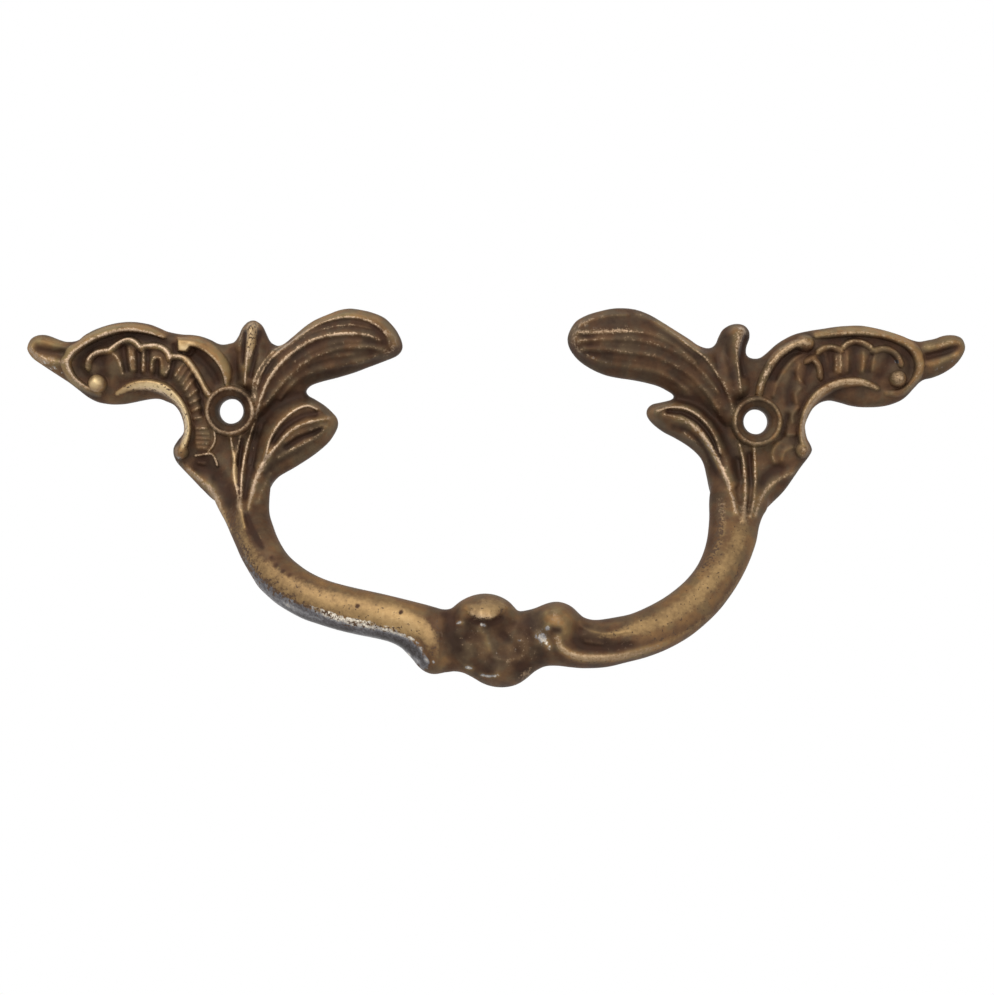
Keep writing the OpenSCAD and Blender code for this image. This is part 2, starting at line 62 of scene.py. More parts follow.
# The studio: white all round, a pale floor well below the pull, and three soft lamps. The key lamp hangs
# above and in front on the left, a weak one stands on the right, and a cool one lies low on the left, which
# the polished lower edges show as a silvery line. That line is also painted into the metal's colour as a
# silvery reflection.
class Wire:
    """One socket of a node tree. Arithmetic on wires adds Math nodes."""

    def __init__(self, tree, socket=None):
        self.tree = tree
        self.socket = socket

    def node(self, kind, settings=None, sockets=None, out=0):
        """Adds a node: first its settings, then the values or wires of its sockets."""
        made = self.tree.nodes.new(kind)
        for name, value in (settings or {}).items():
            if name == "stops":
                while len(made.color_ramp.elements) < len(value):
                    made.color_ramp.elements.new(1)
                for stop, (place, colour) in zip(made.color_ramp.elements, value):
                    stop.position = place
                    stop.color = (*colour, 1)
            else:
                setattr(made, name, value)
        for name, value in (sockets or {}).items():
            if isinstance(value, Wire):
                self.tree.links.new(value.socket, made.inputs[name])
            else:
                made.inputs[name].default_value = value
        return Wire(self.tree, made.outputs[out] if made.outputs else None)

    def math(self, operation, *terms):
        return self.node("ShaderNodeMath", {"operation": operation}, dict(enumerate(terms)))

    def __add__(self, other):
        return self.math("ADD", self, other)

    def __radd__(self, other):
        return self.math("ADD", other, self)

    def __sub__(self, other):
        return self.math("SUBTRACT", self, other)

    def __rsub__(self, other):
        return self.math("SUBTRACT", other, self)

    def __mul__(self, other):
        return self.math("MULTIPLY", self, other)

    def __rmul__(self, other):
        return self.math("MULTIPLY", other, self)

    def most(self, other):
        return self.math("MAXIMUM", self, other)

    def between(self, low, high):
        """0 below low, 1 above high, and smooth between them."""
        sockets = {"Value": self, "From Min": low, "From Max": high}
        return self.node("ShaderNodeMapRange", {"interpolation_type": "SMOOTHSTEP"}, sockets)

    def mix(self, first, second, blend="MIX", share=None):
        """A colour: first where this wire is 0, second where it is 1."""
        settings = {"data_type": "RGBA", "blend_type": blend}
        sockets = {"Factor": share or self, 6: first, 7: second}
        return self.node("ShaderNodeMix", settings, sockets, out=2)

    def tinted(self, tint):
        """This wire's colour times another colour."""
        return self.mix(self, tint, "MULTIPLY", share=1.0)


def seen_as_white(tree):
    """1 on camera, glossy and transmission rays, 0 on the rest."""
    seen, mirrored, through = (
        Wire(tree).node("ShaderNodeLightPath", out=name)
        for name in ("Is Camera Ray", "Is Glossy Ray", "Is Transmission Ray")
    )
    return seen.most(mirrored).most(through)


WHITE = (1, 1, 1, 1)
FILL_GREY = (0.4, 0.4, 0.4, 1)

world = bpy.data.worlds.new("studio")
world.use_nodes = True
world.node_tree.nodes.clear()
surround = seen_as_white(world.node_tree).mix(FILL_GREY, WHITE)
background = surround.node("ShaderNodeBackground", sockets={"Color": surround, "Strength": 1.0})
background.node("ShaderNodeOutputWorld", sockets={"Surface": background})
scene.world = world

FLOOR_WEST, FLOOR_EAST = -300 * MM, 300 * MM
FLOOR_NEAR, FLOOR_FAR = -380 * MM, 45 * MM
FLOOR_HEIGHT = -102 * MM
PALE = (0.9, 0.9, 0.9, 1)
WHITE_SHARE = 0.75
floor_mesh = bpy.data.meshes.new("floor")
near_corners = [(x, FLOOR_NEAR, FLOOR_HEIGHT) for x in (FLOOR_WEST, FLOOR_EAST)]
far_corners = [(x, FLOOR_FAR, FLOOR_HEIGHT) for x in (FLOOR_EAST, FLOOR_WEST)]
floor_mesh.from_pydata(near_corners + far_corners, [], [(0, 1, 2, 3)])
floor = bpy.data.objects.new("floor", floor_mesh)
scene.collection.objects.link(floor)
pale = bpy.data.materials.new("pale_floor")
pale.use_nodes = True
pale.node_tree.nodes.clear()
matt = Wire(pale.node_tree).node("ShaderNodeBsdfDiffuse", sockets={"Color": PALE})
glow = Wire(pale.node_tree).node("ShaderNodeEmission", sockets={"Color": WHITE, "Strength": 1.0})
white_part = seen_as_white(pale.node_tree) * WHITE_SHARE
shown = white_part.node("ShaderNodeMixShader", sockets={0: white_part, 1: matt, 2: glow})
shown.node("ShaderNodeOutputMaterial", sockets={"Surface": shown})
floor_mesh.materials.append(pale)

AIM_HEIGHT = -12 * MM


def lamp(name, place, width, power, colour):
    """A square soft lamp at a place in millimetres, aimed at the middle of the pull."""
    light = bpy.data.lights.new(name, "AREA")
    light.size = width * MM
    light.energy = power
    light.color = colour
    made = bpy.data.objects.new(name, light)
    made.location = Vector(place) * MM
    aim = Vector((0, 0, AIM_HEIGHT)) - made.location
    made.rotation_mode = "QUATERNION"
    made.rotation_quaternion = aim.to_track_quat("-Z", "Y")
    scene.collection.objects.link(made)


lamp("key", (-200, -460, 460), 500, 3.2, (1, 0.98, 0.95))
lamp("right_soft", (320, -420, -80), 400, 0.9, (1, 0.98, 0.95))
lamp("low_cool", (-380, -260, -300), 250, 1.6, (0.88, 0.94, 1))


# The pull is one casting, carved as one surface in its wax. Seen face on it is a lattice of columns, and
# every column holds where the metal begins and ends in depth. The carving is set out as strokes along smooth
# lines, with all its sizes in millimetres.
import numpy as np

PITCH = 0.12
WEST, EAST, SOUTH, NORTH = -72.3, 72.8, -40.8, 18.1
X, Z = np.meshgrid(np.arange(WEST, EAST, PITCH), np.arange(SOUTH, NORTH, PITCH), indexing="ij")


def smooth(points, gap=0.35, closed=False):
    """Points close together on the smooth line through a few given points."""
    set_by_hand = np.array(points, float)
    if closed:
        ends = np.vstack([set_by_hand[-1:], set_by_hand, set_by_hand[:2]])
    else:
        ends = np.vstack([set_by_hand[:1], set_by_hand, set_by_hand[-1:]])
    line = []
    for a, b, c, d in zip(ends, ends[1:], ends[2:], ends[3:]):
        pieces = max(2, math.ceil(np.linalg.norm((c - b)[:2]) / gap))
        t = np.linspace(0, 1, pieces, endpoint=False)[:, None]
        bend = (2 * a - 5 * b + 4 * c - d) * t**2 + (3 * b - a - 3 * c + d) * t**3
        line.append(b + ((c - a) * t + bend) / 2)
    line.append(set_by_hand[:1] if closed else set_by_hand[-1:])
    return np.vstack(line)


def window(line, reach):
    """The part of the lattice within reach of a line."""
    low = np.floor((line[:, :2].min(0) - reach - (WEST, SOUTH)) / PITCH).astype(int).clip(0)
    high = np.ceil((line[:, :2].max(0) + reach - (WEST, SOUTH)) / PITCH).astype(int).clip(0) + 1
    return slice(low[0], high[0]), slice(low[1], high[1])


def nearest(line, part):
    """Each column's distance from a line, its side of it, and how far along the nearest point is, 0 to 1."""
    x, z = X[part], Z[part]
    best = np.full(x.shape, np.inf)
    along = np.zeros(x.shape)
    side = np.zeros(x.shape)
    runs = np.diff(line[:, :2], axis=0)
    lengths = np.hypot(*runs.T)
    starts = np.concatenate([[0], np.cumsum(lengths)])
    for (ax, az), (rx, rz), length, start in zip(line[:, :2], runs, lengths, starts):
        dx, dz = x - ax, z - az
        t = ((dx * rx + dz * rz) / length**2).clip(0, 1)
        square = (dx - t * rx) ** 2 + (dz - t * rz) ** 2
        closer = square < best
        best = np.where(closer, square, best)
        along = np.where(closer, start + t * length, along)
        side = np.where(closer, rx * dz - rz * dx, side)
    return np.sqrt(best), np.sign(side), along / starts[-1]


def inside(outline, part):
    """Which columns lie inside a closed outline."""
    x, z = X[part], Z[part]
    odd = np.zeros(x.shape, bool)
    for (ax, az), (bx, bz) in zip(outline, outline[1:]):
        if az != bz:
            odd ^= ((az > z) != (bz > z)) & (x < ax + (bx - ax) * (z - az) / (bz - az))
    return odd


def step(value, low, high):
    """0 at low, 1 at high, and smooth between them."""
    t = ((value - low) / (high - low)).clip(0, 1)
    return t * t * (3 - 2 * t)


def spread(values, along):
    """A value for each place along a line, from a few values evenly spaced on it."""
    values = np.atleast_1d(values).astype(float)
    return np.interp(along, np.linspace(0, 1, len(values)), values)


# what each column has: the rise of the beads that stand on the surface and of the folds that swell out of it,
# how far it is rubbed bare, the tone of its patina from dark to light, which also sets how bright painted
# reflections and glints are, how much silver and painted reflection it has, how golden, and how pitted
beads, folds, worn, silver, yellow, pitted = (np.zeros(X.shape) for _ in range(6))
tone = np.full(X.shape, 0.42)

FINEST = 0.26
FINEST_WEAR = 0.34
WEAR_WIDTH = 0.7
LIGHT_WIDTH = 1.4
LIGHTENED = 0.28
BEAD_ROUND = 0.7
SWELL_ROUND = 1.5
FACET_OUTER, FACET_INNER = -0.15, 0.25


def bring(field, level, share, part=...):
    """Brings a field to a level, all the way where the share is 1."""
    field[part] += (level - field[part]) * share


def stroke(points, width, right, reach):
    """The columns near a stroke, their distance from it in half widths and from its crest, and how far along.

    A half width may change along the way. It may be another on the right of the way, where the stroke then
    runs out more gently.
    """
    line = smooth(points)
    right = width if right is None else right
    part = window(line, max(np.max(width), np.max(right)) * reach)
    distance, side, along = nearest(line, part)
    left, right = spread(width, along).clip(FINEST), spread(right, along).clip(FINEST)
    crest = distance / np.minimum(left, right).clip(FINEST_WEAR)
    return part, distance / np.where(side < 0, right, left), crest, along


def rub(part, crest, along, shine):
    """Wears a crest, and lightens the patina beside it."""
    shine = spread(shine, along)
    worn[part] = np.maximum(worn[part], shine * np.exp(-((crest / WEAR_WIDTH) ** 2)))
    tone[part] += LIGHTENED * shine * np.exp(-((crest / LIGHT_WIDTH) ** 2))


def bead(width, rise, shine, points, right=None):
    """A round bead that stands on the surface."""
    part, share, crest, along = stroke(points, width, right, reach=2)
    height = spread(rise, along) * (1 - share**2).clip(0) ** BEAD_ROUND
    beads[part] = np.maximum(beads[part], height)
    rub(part, crest, along, shine)


def rib(width, rise, shine, points, right=None):
    """A soft rib or fold that swells out of the surface."""
    part, share, crest, along = stroke(points, width, right, reach=3)
    folds[part] += spread(rise, along) * np.exp(-(share**2))
    rub(part, crest, along, shine)


def hollow(width, depth, points, shade=0.1):
    """A soft flute sunk into the surface, where the patina stays dark."""
    part, share, _, along = stroke(points, width, None, reach=2.6)
    sunk = np.exp(-(share**2))
    folds[part] -= spread(depth, along) * sunk
    bring(tone, shade, sunk, part)


def swell(width, rise, points):
    """A broad swelling of the form itself."""
    part, share, _, along = stroke(points, width, None, reach=1.05)
    folds[part] += spread(rise, along) * (1 - share**2).clip(0) ** SWELL_ROUND


def facet(rise, shine, corners):
    """A flat facet with short steep sides."""
    line = np.array(corners + corners[:1], float)
    part = window(line, 1)
    distance = nearest(line, part)[0]
    signed = np.where(inside(line, part), distance, -distance)
    cover = step(signed, FACET_OUTER, FACET_INNER)
    beads[part] = np.maximum(beads[part], rise * cover)
    bring(worn, shine, cover, part)


def knob(radius, rise, shine, place):
    """A round knob."""
    bead(radius, rise, shine, [place, (place[0] + PITCH, place[1])])


def paint(field, width, level, points, edge=4):
    """Brings a field to a level along a stroke with no rise. A lower edge lets it run out more softly."""
    part, share, _, along = stroke(points, width, None, reach=2.2)
    bring(field, spread(level, along), np.exp(-(share**edge)), part)


# The left back plate: a shell with fluted lobes between a rolled rim and a scroll, a bud above the screw
# hole, and two leaves. It is part of the casting, flat behind, and lies on the drawer front.
left_outline = [
    (-71.5, 9.2), (-71, 10.4), (-70.1, 11), (-69, 11.15), (-68, 10.95), (-66.5, 10.4), (-65.3, 10.15),
    (-63.8, 10.4), (-62.5, 11.4), (-60.5, 12.4), (-58, 13.15), (-55.5, 13.4), (-53, 13.1), (-51.5, 12.6),
    (-50, 12), (-48, 11.65), (-46.5, 11.6), (-45, 11.4), (-43.5, 10.9), (-42.5, 10.4), (-41.6, 10.2),
    (-40.5, 10.4), (-39.8, 10.7), (-39.2, 11.6), (-38.7, 12.8), (-37.9, 13.7), (-37, 14), (-36.2, 13.7),
    (-35.5, 13), (-34.5, 11), (-33.8, 10.4), (-33, 10.2), (-32, 10.7), (-30.5, 12), (-29, 13.3),
    (-27.5, 14.3), (-25.5, 15.2), (-24, 15.8), (-22.5, 16.1), (-21, 16), (-19, 15.6), (-17, 14.8),
    (-15.5, 13.4), (-14.7, 12.2), (-14.2, 11), (-14.2, 10), (-15, 9), (-17, 8.1), (-19.5, 7.1),
    (-21.5, 6.3), (-24, 5.5), (-26.5, 4.8), (-28, 4.2), (-28.7, 3.4), (-28.4, 2.7), (-27.5, 2.2),
    (-26, 1.3), (-24.7, 0.2), (-23.9, -0.8), (-23.8, -2), (-24.5, -3.5), (-25.5, -4.8), (-27.5, -6.5),
    (-30, -8.2), (-31.5, -9.1), (-32.6, -9.8), (-33.5, -10.8), (-34.4, -12.4), (-36, -13.8), (-39, -14.3),
    (-42, -13.9), (-44.3, -12), (-45.9, -10.4), (-47.4, -8.9), (-48.3, -7.9), (-48.8, -6.8), (-48.8, -5.7),
    (-48.2, -4.6), (-47.4, -3.5), (-47.3, -2.5), (-47.6, -1.2), (-48.1, -0.1), (-48.9, 0.8), (-50, 1.3),
    (-51, 1.65), (-52, 1.7), (-53.5, 1.45), (-55, 1.1), (-56.5, 0.8), (-58, 0.7), (-59, 0.75), (-60.5, 1),
    (-62, 1.7), (-63.5, 2.8), (-65, 3.9), (-66.6, 4.9), (-68.2, 5.9), (-69.6, 6.8), (-70.6, 7.5),
    (-71.3, 8.4),
]

# tail
paint(tone, 2.4, 0.84, [(-70, 8.9), (-68, 8.5), (-65.6, 7.4)])
rib(1, [0.4, 0.5, 0.5, 0.3], [0.1, 0.2, 0.2, 0.1],
    [(-70.2, 9.7), (-69.3, 10.1), (-68, 10.1), (-66.6, 9.7), (-65.4, 9.5)])
rib(0.6, 0.5, [0.5, 0.72, 0.75, 0.5],
    [(-70.6, 8.8), (-69.9, 7.9), (-68.9, 7.3), (-67.5, 7), (-66.2, 6.9), (-65.4, 7)], right=1)
hollow(0.7, [0.3, 0.5, 0.6], [(-69.4, 8.9), (-67.6, 8.5), (-65.8, 8.3)], shade=0.5)
paint(worn, [0.4, 0.6, 0.5], [0.5, 0.6, 0.4], [(-70.5, 8.7), (-69.2, 7.5), (-67, 7.1)])
# painted reflection: silvery, light specks along the tail's lower edge
tail_edge = [(-70.9, 8.2), (-69.2, 7), (-67, 5.8), (-65, 4.4), (-63.4, 3.2)]
paint(silver, [0.5, 0.8, 0.8, 0.5], [0.24, 0.34, 0.32, 0.24], tail_edge)
paint(tone, [0.5, 0.8, 0.8, 0.5], 0.85, tail_edge)

# rolled rim
left_rim = [
    (-50.5, 11), (-52, 11.5), (-54, 11.9), (-56, 12), (-58, 11.6), (-60, 10.9), (-61.8, 10), (-63.2, 9),
    (-64.3, 7.9), (-64.7, 6.8), (-64.4, 5.6), (-63.7, 4.5), (-62.6, 3.6), (-61.4, 2.9), (-60.2, 2.5),
]
bead([0.25, 0.4, 0.4, 0.4, 0.4, 0.3], [0.5, 1.3, 1.45, 1.5, 1.3, 0.8], [0.5, 0.75, 0.7, 0.75, 0.9, 0.5],
    left_rim, right=[0.6, 1.5, 1.7, 1.4, 1.2, 0.8])
paint(tone, 0.7, 0.85,
    [(-50.5, 11.8), (-53, 12.4), (-56, 12.6), (-59, 12), (-61.5, 10.9), (-63.6, 9.5), (-65, 7.8),
     (-65.2, 6.2)])
hollow(0.7, 0.25,
    [(-61.6, 4.6), (-63, 6), (-62.9, 7.4), (-61.6, 9), (-59.4, 10.2), (-57, 11.1), (-54.5, 11.3),
     (-52, 10.7), (-50.2, 10)], shade=0.24)
hollow(0.35, 0.25, [(-48.9, 9.8), (-48.5, 8.6), (-46.8, 8.4)])

# fluted lobes
for shine, line in (
    ([0.2, 0.6, 0.75, 0.7], [(-61.9, 6.2), (-61.7, 7.4), (-60.9, 8.3), (-60, 8.7), (-58.7, 8.9)]),
    (0.8, [(-58.4, 9.1), (-57.5, 9.8), (-56.3, 10.5), (-55.3, 10.6), (-54.4, 10.1), (-53.8, 9.3)]),
    (0.75, [(-53.7, 9.5), (-53, 9.7), (-51.5, 9.8), (-50.3, 9.4), (-49.5, 8.6), (-49.2, 7.8)]),
    ([0.6, 0.75, 0.9, 0.95, 0.9, 0.7],
     [(-49, 8.2), (-48, 8.3), (-47, 8), (-46.2, 7.2), (-45.2, 5.8), (-44.4, 4.4), (-43.7, 3.2),
      (-43.2, 2.5)]),
):
    bead(0.42, 0.95, shine, line, right=0.75)
swell(3.2, 0.6,
    [(-60, 6.4), (-57, 7), (-54, 7.2), (-51, 6.8), (-48.2, 5.6), (-46.2, 3.2), (-45, 0), (-44, -4)])
for width, depth, line in (
    (1, 0.5, [(-60.2, 7.4), (-59.6, 6.4), (-59.4, 5)]),
    (0.6, 0.45, [(-56.6, 9.6), (-56.3, 7.8), (-56, 6)]),
    (0.55, 0.4, [(-54.2, 8.8), (-54.1, 7.2), (-54, 5.6)]),
    (0.5, 0.5, [(-51.3, 7.2), (-51.3, 6.2), (-51.4, 5.4)]),
    (0.5, 0.4, [(-52.8, 8.8), (-52.7, 7.2), (-52.6, 5.8)]),
    (0.6, 0.4, [(-48.9, 7.2), (-49.1, 6), (-49.4, 4.8)]),
    (0.45, 0.4, [(-45.6, 5), (-44.8, 3.2), (-44.5, 1.6), (-44.2, -0.6)]),
):
    hollow(width, depth, line)
for shine, line in (
    (0.5, [(-58.3, 8.6), (-57.3, 7.7), (-56.8, 6.6), (-56.5, 5.4)]),
    (0.5, [(-55.6, 9.2), (-55.3, 7.6), (-55.1, 6)]),
    (0.4, [(-54.9, 8.8), (-54.7, 7.3), (-54.6, 6)]),
    (0.7, [(-53.4, 9.2), (-53.3, 7.5), (-53.4, 5.8)]),
    (0.45, [(-52.1, 5.8), (-52.1, 7), (-51.6, 7.8), (-50.8, 7.8), (-50.5, 6.8), (-50.5, 5.6)]),
    (0.5, [(-49.2, 7.6), (-49.5, 6.3), (-50, 5.2)]),
):
    rib(0.34, 0.35, 0.7 * shine, line)
for shine, line in (
    (0.4, [(-48.4, 5.2), (-47.7, 6.3), (-47, 7.3)]),
    (0.35, [(-47.9, 4.5), (-46.5, 6.7)]),
    (0.35, [(-47.3, 3.8), (-46, 5.9)]),
    (0.45, [(-46.9, 3), (-45.4, 5)]),
    (0.35, [(-46.4, 2), (-45.1, 3.1)]),
    (0.35, [(-46.1, 1), (-44.7, 1.8)]),
    (0.3, [(-45.7, -0.1), (-44.6, 0.4)]),
    (0.4, [(-45.4, -1.3), (-44.3, -1)]),
    (0.45, [(-45.1, -2.8), (-43.6, -2.7)]),
    (0.35, [(-45, -3.6), (-43.2, -3.6)]),
    (0.35, [(-45, -4.3), (-43.2, -4.3)]),
    (0.35, [(-45, -5), (-43.3, -5)]),
    (0.25, [(-44.8, -5.7), (-43.5, -5.7)]),
    (0.2, [(-44.7, -8), (-43.9, -8.1)]),
):
    rib(0.3, 0.34, 0.9 * shine, line)
bead(0.22, 0.45, 0.55, [(-42.4, -3), (-42.2, -4.2), (-42.5, -5.3), (-43.2, -6.3)])
bead(0.24, 0.5, [0.4, 0.65, 0.6, 0.6],
    [(-45.2, -6.9), (-43.9, -6.7), (-42.7, -6.6), (-42.2, -7.3), (-41.8, -8.3)])
knob(1.5, 2, 0.7, (-60.4, 3.7))
knob_top = [(-60.6, 3.9), (-60.3, 4.1)]
paint(worn, 1.05, 1.1, knob_top)

# scrolls
left_scroll = [
    (-57.4, 2.4), (-55.8, 3.4), (-54, 4), (-52, 4.05), (-50, 3.5), (-48.8, 2.6), (-47.7, 1.3),
    (-46.9, -0.3), (-46.4, -2), (-46.4, -3.6), (-46.8, -5.2), (-47.4, -6.3),
]
bead([0.35, 0.6, 0.65, 0.65, 0.65, 0.55], [0.5, 1.5, 1.7, 1.7, 1.6, 1.3], [0.4, 0.6, 0.6, 0.6, 0.6, 0.4],
    left_scroll, right=[0.5, 1.2, 1.5, 1.4, 1.3, 1])
paint(worn, [0.3, 0.55, 0.7, 0.7, 0.66, 0.7, 0.7, 0.6], [0.8, 1.15, 1.25, 1.25, 1.25, 1.1],
    [(-57.2, 2.2), (-55.6, 3), (-53.5, 3.4), (-51.6, 3.4), (-49.7, 2.8), (-48, 1.5), (-46.9, -0.2),
     (-46.5, -2.2), (-46.6, -4), (-46.9, -5.4)])
knob(1.25, 1.4, 0.4, (-47.5, -6.3))
# a silvery reflection painted on the knob's lower side
paint(silver, 0.7, [0.3, 0.42], [(-47.9, -6), (-47.6, -7)])
paint(tone, 0.9, 0.66, [(-58.4, 1.6), (-56, 1.9), (-53.4, 2.4), (-51, 2.4), (-49.4, 1.4)])
paint(yellow, 1, 0.9, left_scroll)
paint(pitted, 0.55, 0.62,
    [(-56, 2.2), (-53.5, 2.7), (-51.4, 2.6), (-49.6, 1.8), (-48.2, 0.4), (-47.3, -1.6), (-47.2, -4.4)], 2)
paint(pitted, 0.5, 0.4, left_scroll)
paint(yellow, 1.4, 1, knob_top)
paint(yellow, 0.5, 0.7, [(-47, 8), (-45.2, 5.8), (-43.7, 3.2)])
paint(worn, [0.2, 0.34, 0.34, 0.2], 0.85, [(-46.6, 7.6), (-45.5, 6.1), (-44.6, 4.6), (-43.8, 3.2)])
bead([1.7, 1.8, 1.5, 1.5, 1.4, 0.7], [1.2, 1.2, 1.3, 1.4, 1.3, 0.8], [0.3, 0.4, 0.7, 0.8, 0.75, 0.5],
    [(-46.3, 9.9), (-45, 9.6), (-43.6, 8.8), (-42.4, 7.7), (-41.5, 6.5), (-41, 5.3),
     (-40.8, 4.2)], right=0.3)
paint(tone, 0.8, 0.8, [(-48, 11.1), (-45.6, 10.8), (-43.6, 10), (-42, 8.9), (-41, 7.4), (-40.3, 5.6)])
facet(1.1, 0.4,
    [(-48.4, 11.1), (-47, 11.2), (-45.4, 10.6), (-45, 9.6), (-46.1, 9.8), (-46.8, 8.8), (-48.1, 8.9)])
paint(worn, [0.8, 0.75, 0.4], [1, 1.15, 0.8], [(-47.7, 9.7), (-47.1, 9.4), (-46.4, 10.1)], 2)
paint(yellow, [1.6, 1.6, 1], [1, 0.8, 0.5, 0.3], [(-47.7, 10.1), (-46.2, 9.9), (-43.6, 9.2), (-41.6, 6.8)])
hollow(0.3, 0.3, [(-45.8, 9.3), (-46.4, 8.5)], shade=0.05)
hollow(0.7, 0.45, [(-45.9, 8.7), (-44.6, 7.7), (-43.2, 6.2), (-42.3, 4.6)])

# bud
swell([1.8, 2.2, 2.5, 2.3], 1.3, [(-37, 12.6), (-36.9, 10.5), (-36.9, 8), (-37.2, 5)])
rib([0.8, 0.55, 0.3, 0.25, 0.25], [0.5, 0.6, 0.5, 0.45, 0.4], [0.5, 0.6, 0.7, 0.6, 0.5],
    [(-37, 12.8), (-37.1, 11.4), (-37.4, 10), (-37.6, 8), (-37.7, 6), (-37.8, 4)])
paint(worn, [0.9, 0.8, 0.5], [0.7, 0.95, 0.95, 0.8],
    [(-36.8, 13), (-36.9, 11.6), (-37, 10), (-37.3, 8.6)], 3)
paint(yellow, 1, 0.8, [(-36.8, 13), (-37, 10)])
paint(pitted, 1, [0.6, 0.5, 0.4], [(-36.8, 13), (-36.9, 11), (-37.2, 9)])
hollow(0.4, 0.5, [(-38, 11.8), (-38.1, 10), (-38.3, 7.4)])
hollow(0.45, 0.5, [(-35.9, 12), (-36.1, 10), (-36.5, 7.6), (-36.9, 5.4)])
rib(0.4, 0.3, [0.6, 0.5, 0.2], [(-38.4, 12.6), (-38.8, 11), (-39, 9.4)])
hollow(0.7, 0.3, [(-39.8, 9.4), (-39.4, 7.4), (-39, 5.2)], shade=0.25)

# upper leaf: its folds lie over each other like tiles, gentle on their upper side and steep below
left_spine = [(-36, 1), (-34, 5), (-30.5, 8.6), (-27, 10.4), (-23, 11.6), (-19, 11.6), (-16.4, 11)]
paint(tone, [2, 3, 4, 4, 4], 0.2, left_spine)
swell([2, 4, 5.2, 5.2, 4.6], 1.1, left_spine)
rib([0.5, 0.9, 1.2, 1.2, 1, 0.7], [0.4, 0.5, 0.55, 0.6, 0.5, 0.3], [0.3, 0.55, 0.7, 0.6, 0.5, 0.6, 0.3],
    [(-36.4, 1), (-35.7, 4.5), (-34.3, 7.5), (-32.1, 9.8), (-29, 12.1), (-26, 13.8), (-22.5, 14.6),
     (-19.6, 14.2), (-17.4, 13), (-16.2, 11.6), (-15.9, 10.3)], right=0.3)
rib([0.5, 0.9, 1, 0.8, 0.4], [0.5, 0.6, 0.6, 0.55, 0.3], [0.6, 0.8, 0.7, 0.66, 0.6, 0.45],
    [(-36.2, -1), (-34.7, 3.6), (-33, 6.5), (-30.5, 9.1), (-27.5, 11), (-24, 11.9), (-20, 12),
     (-17.4, 11.2)], right=0.36)
rib([0.2, 0.5, 0.5, 0.2], 0.25, [0.3, 0.3, 0.25, 0.5, 0.2],
    [(-33.4, 8.2), (-31.5, 10), (-29, 11.5), (-26, 12.7), (-22, 13.4), (-18.8, 12.9)], right=0.2)
rib(0.25, 0.25, 0.45, [(-36.6, 2.2), (-36.4, 4.5), (-35.3, 7), (-33.7, 9.2), (-32, 10.6)])
for shine, rise, line in (
    (0.3, 0.35,
     [(-34.7, 1), (-32.2, 4.2), (-29.5, 7), (-26.5, 8.8), (-23, 9.8), (-19.5, 10.1), (-17.2, 9.8)]),
    (0.25, 0.3, [(-32.5, 2), (-30, 4.8), (-27, 6.3), (-23.5, 7.2), (-20, 8), (-17.9, 8.8)]),
    (0.15, 0.15, [(-31, 5), (-28.4, 7.2), (-25, 8.4), (-21.6, 8.9)]),
    (0.2, 0.15, [(-30.4, 7.6), (-27.5, 9.3), (-24, 10.6), (-20.4, 10.9)]),
):
    rib([0.3, 0.7, 0.7, 0.3], rise + 0.05, shine, line, right=0.32)
# silvery highlights painted as specks along two of the folds
paint(silver, 0.4, [0.1, 0.26, 0.2], [(-29.5, 7), (-25, 9.3), (-20, 10)])
paint(silver, 0.4, [0.1, 0.24, 0.2], [(-29.5, 5), (-25, 6.9), (-20.6, 7.8)])
paint(tone, [0.5, 0.8, 0.8, 0.6], 0.8,
    [(-30.6, 11.3), (-27.6, 13.7), (-24, 15.2), (-21, 15.3), (-18, 14.5), (-15.8, 12.6), (-15, 10.8)])
paint(tone, 0.5, 0, [(-18.6, 13.2), (-17.3, 12.2), (-16.8, 10.8)])
paint(worn, 0.5, 0.35, [(-16.2, 12.4), (-15.4, 11.4), (-15.3, 10.2), (-16.6, 9.4)])
paint(tone, 1.2, 0.3, [(-29, 5.4), (-24.6, 6.8), (-20.6, 7.8), (-17, 8.9)])

# lower leaf
swell([1.5, 3.4, 4, 3.4], 1.1, [(-35, -8), (-33, -4.6), (-30, -2.2), (-27.6, -1.2), (-26, -1.5)])
rib([0.45, 0.8, 0.9, 0.5], 0.6, [0.7, 0.8, 0.7, 0.85, 0.6],
    [(-34.3, -6.5), (-33.8, -4.3), (-32.8, -2.4), (-31.2, -0.6), (-29.5, 0.6), (-28, 1),
     (-26.8, 0.5)], right=0.25)
rib([0.45, 0.7, 0.7, 0.4], 0.55, [0.9, 0.6, 0.55, 0.66, 0.5],
    [(-34.2, -7), (-32.8, -5.3), (-31.2, -3.4), (-29.2, -2), (-27, -1.3), (-25.1, -0.9)], right=0.3)
rib([0.3, 0.5, 0.3], 0.35, [0.2, 0.4, 0.35, 0.2],
    [(-32.5, -7), (-30.5, -5.7), (-28.5, -4.6), (-26.6, -3.5), (-25.3, -2.2)], right=0.25)
rib([0.2, 0.4, 0.2], 0.2, 0.3, [(-31.4, -4.6), (-29.6, -3.4), (-27.4, -2.6), (-26, -2)])
hollow(0.6, 0.45, [(-33.2, -4.4), (-31.4, -2.2), (-29.2, -0.7), (-27.2, -0.2)])
hollow(0.5, 0.4, [(-31.4, -5.3), (-29.4, -3.9), (-27.4, -3.1), (-26.2, -2.6)])
hollow(0.9, 0.5, [(-36, -3.4), (-35, -1), (-33.2, 1), (-31, 2.3), (-29.2, 2.8)])
paint(tone, 0.7, 0.6, [(-30.5, -7.4), (-27.4, -5.4), (-24.9, -3), (-24.4, -1)])

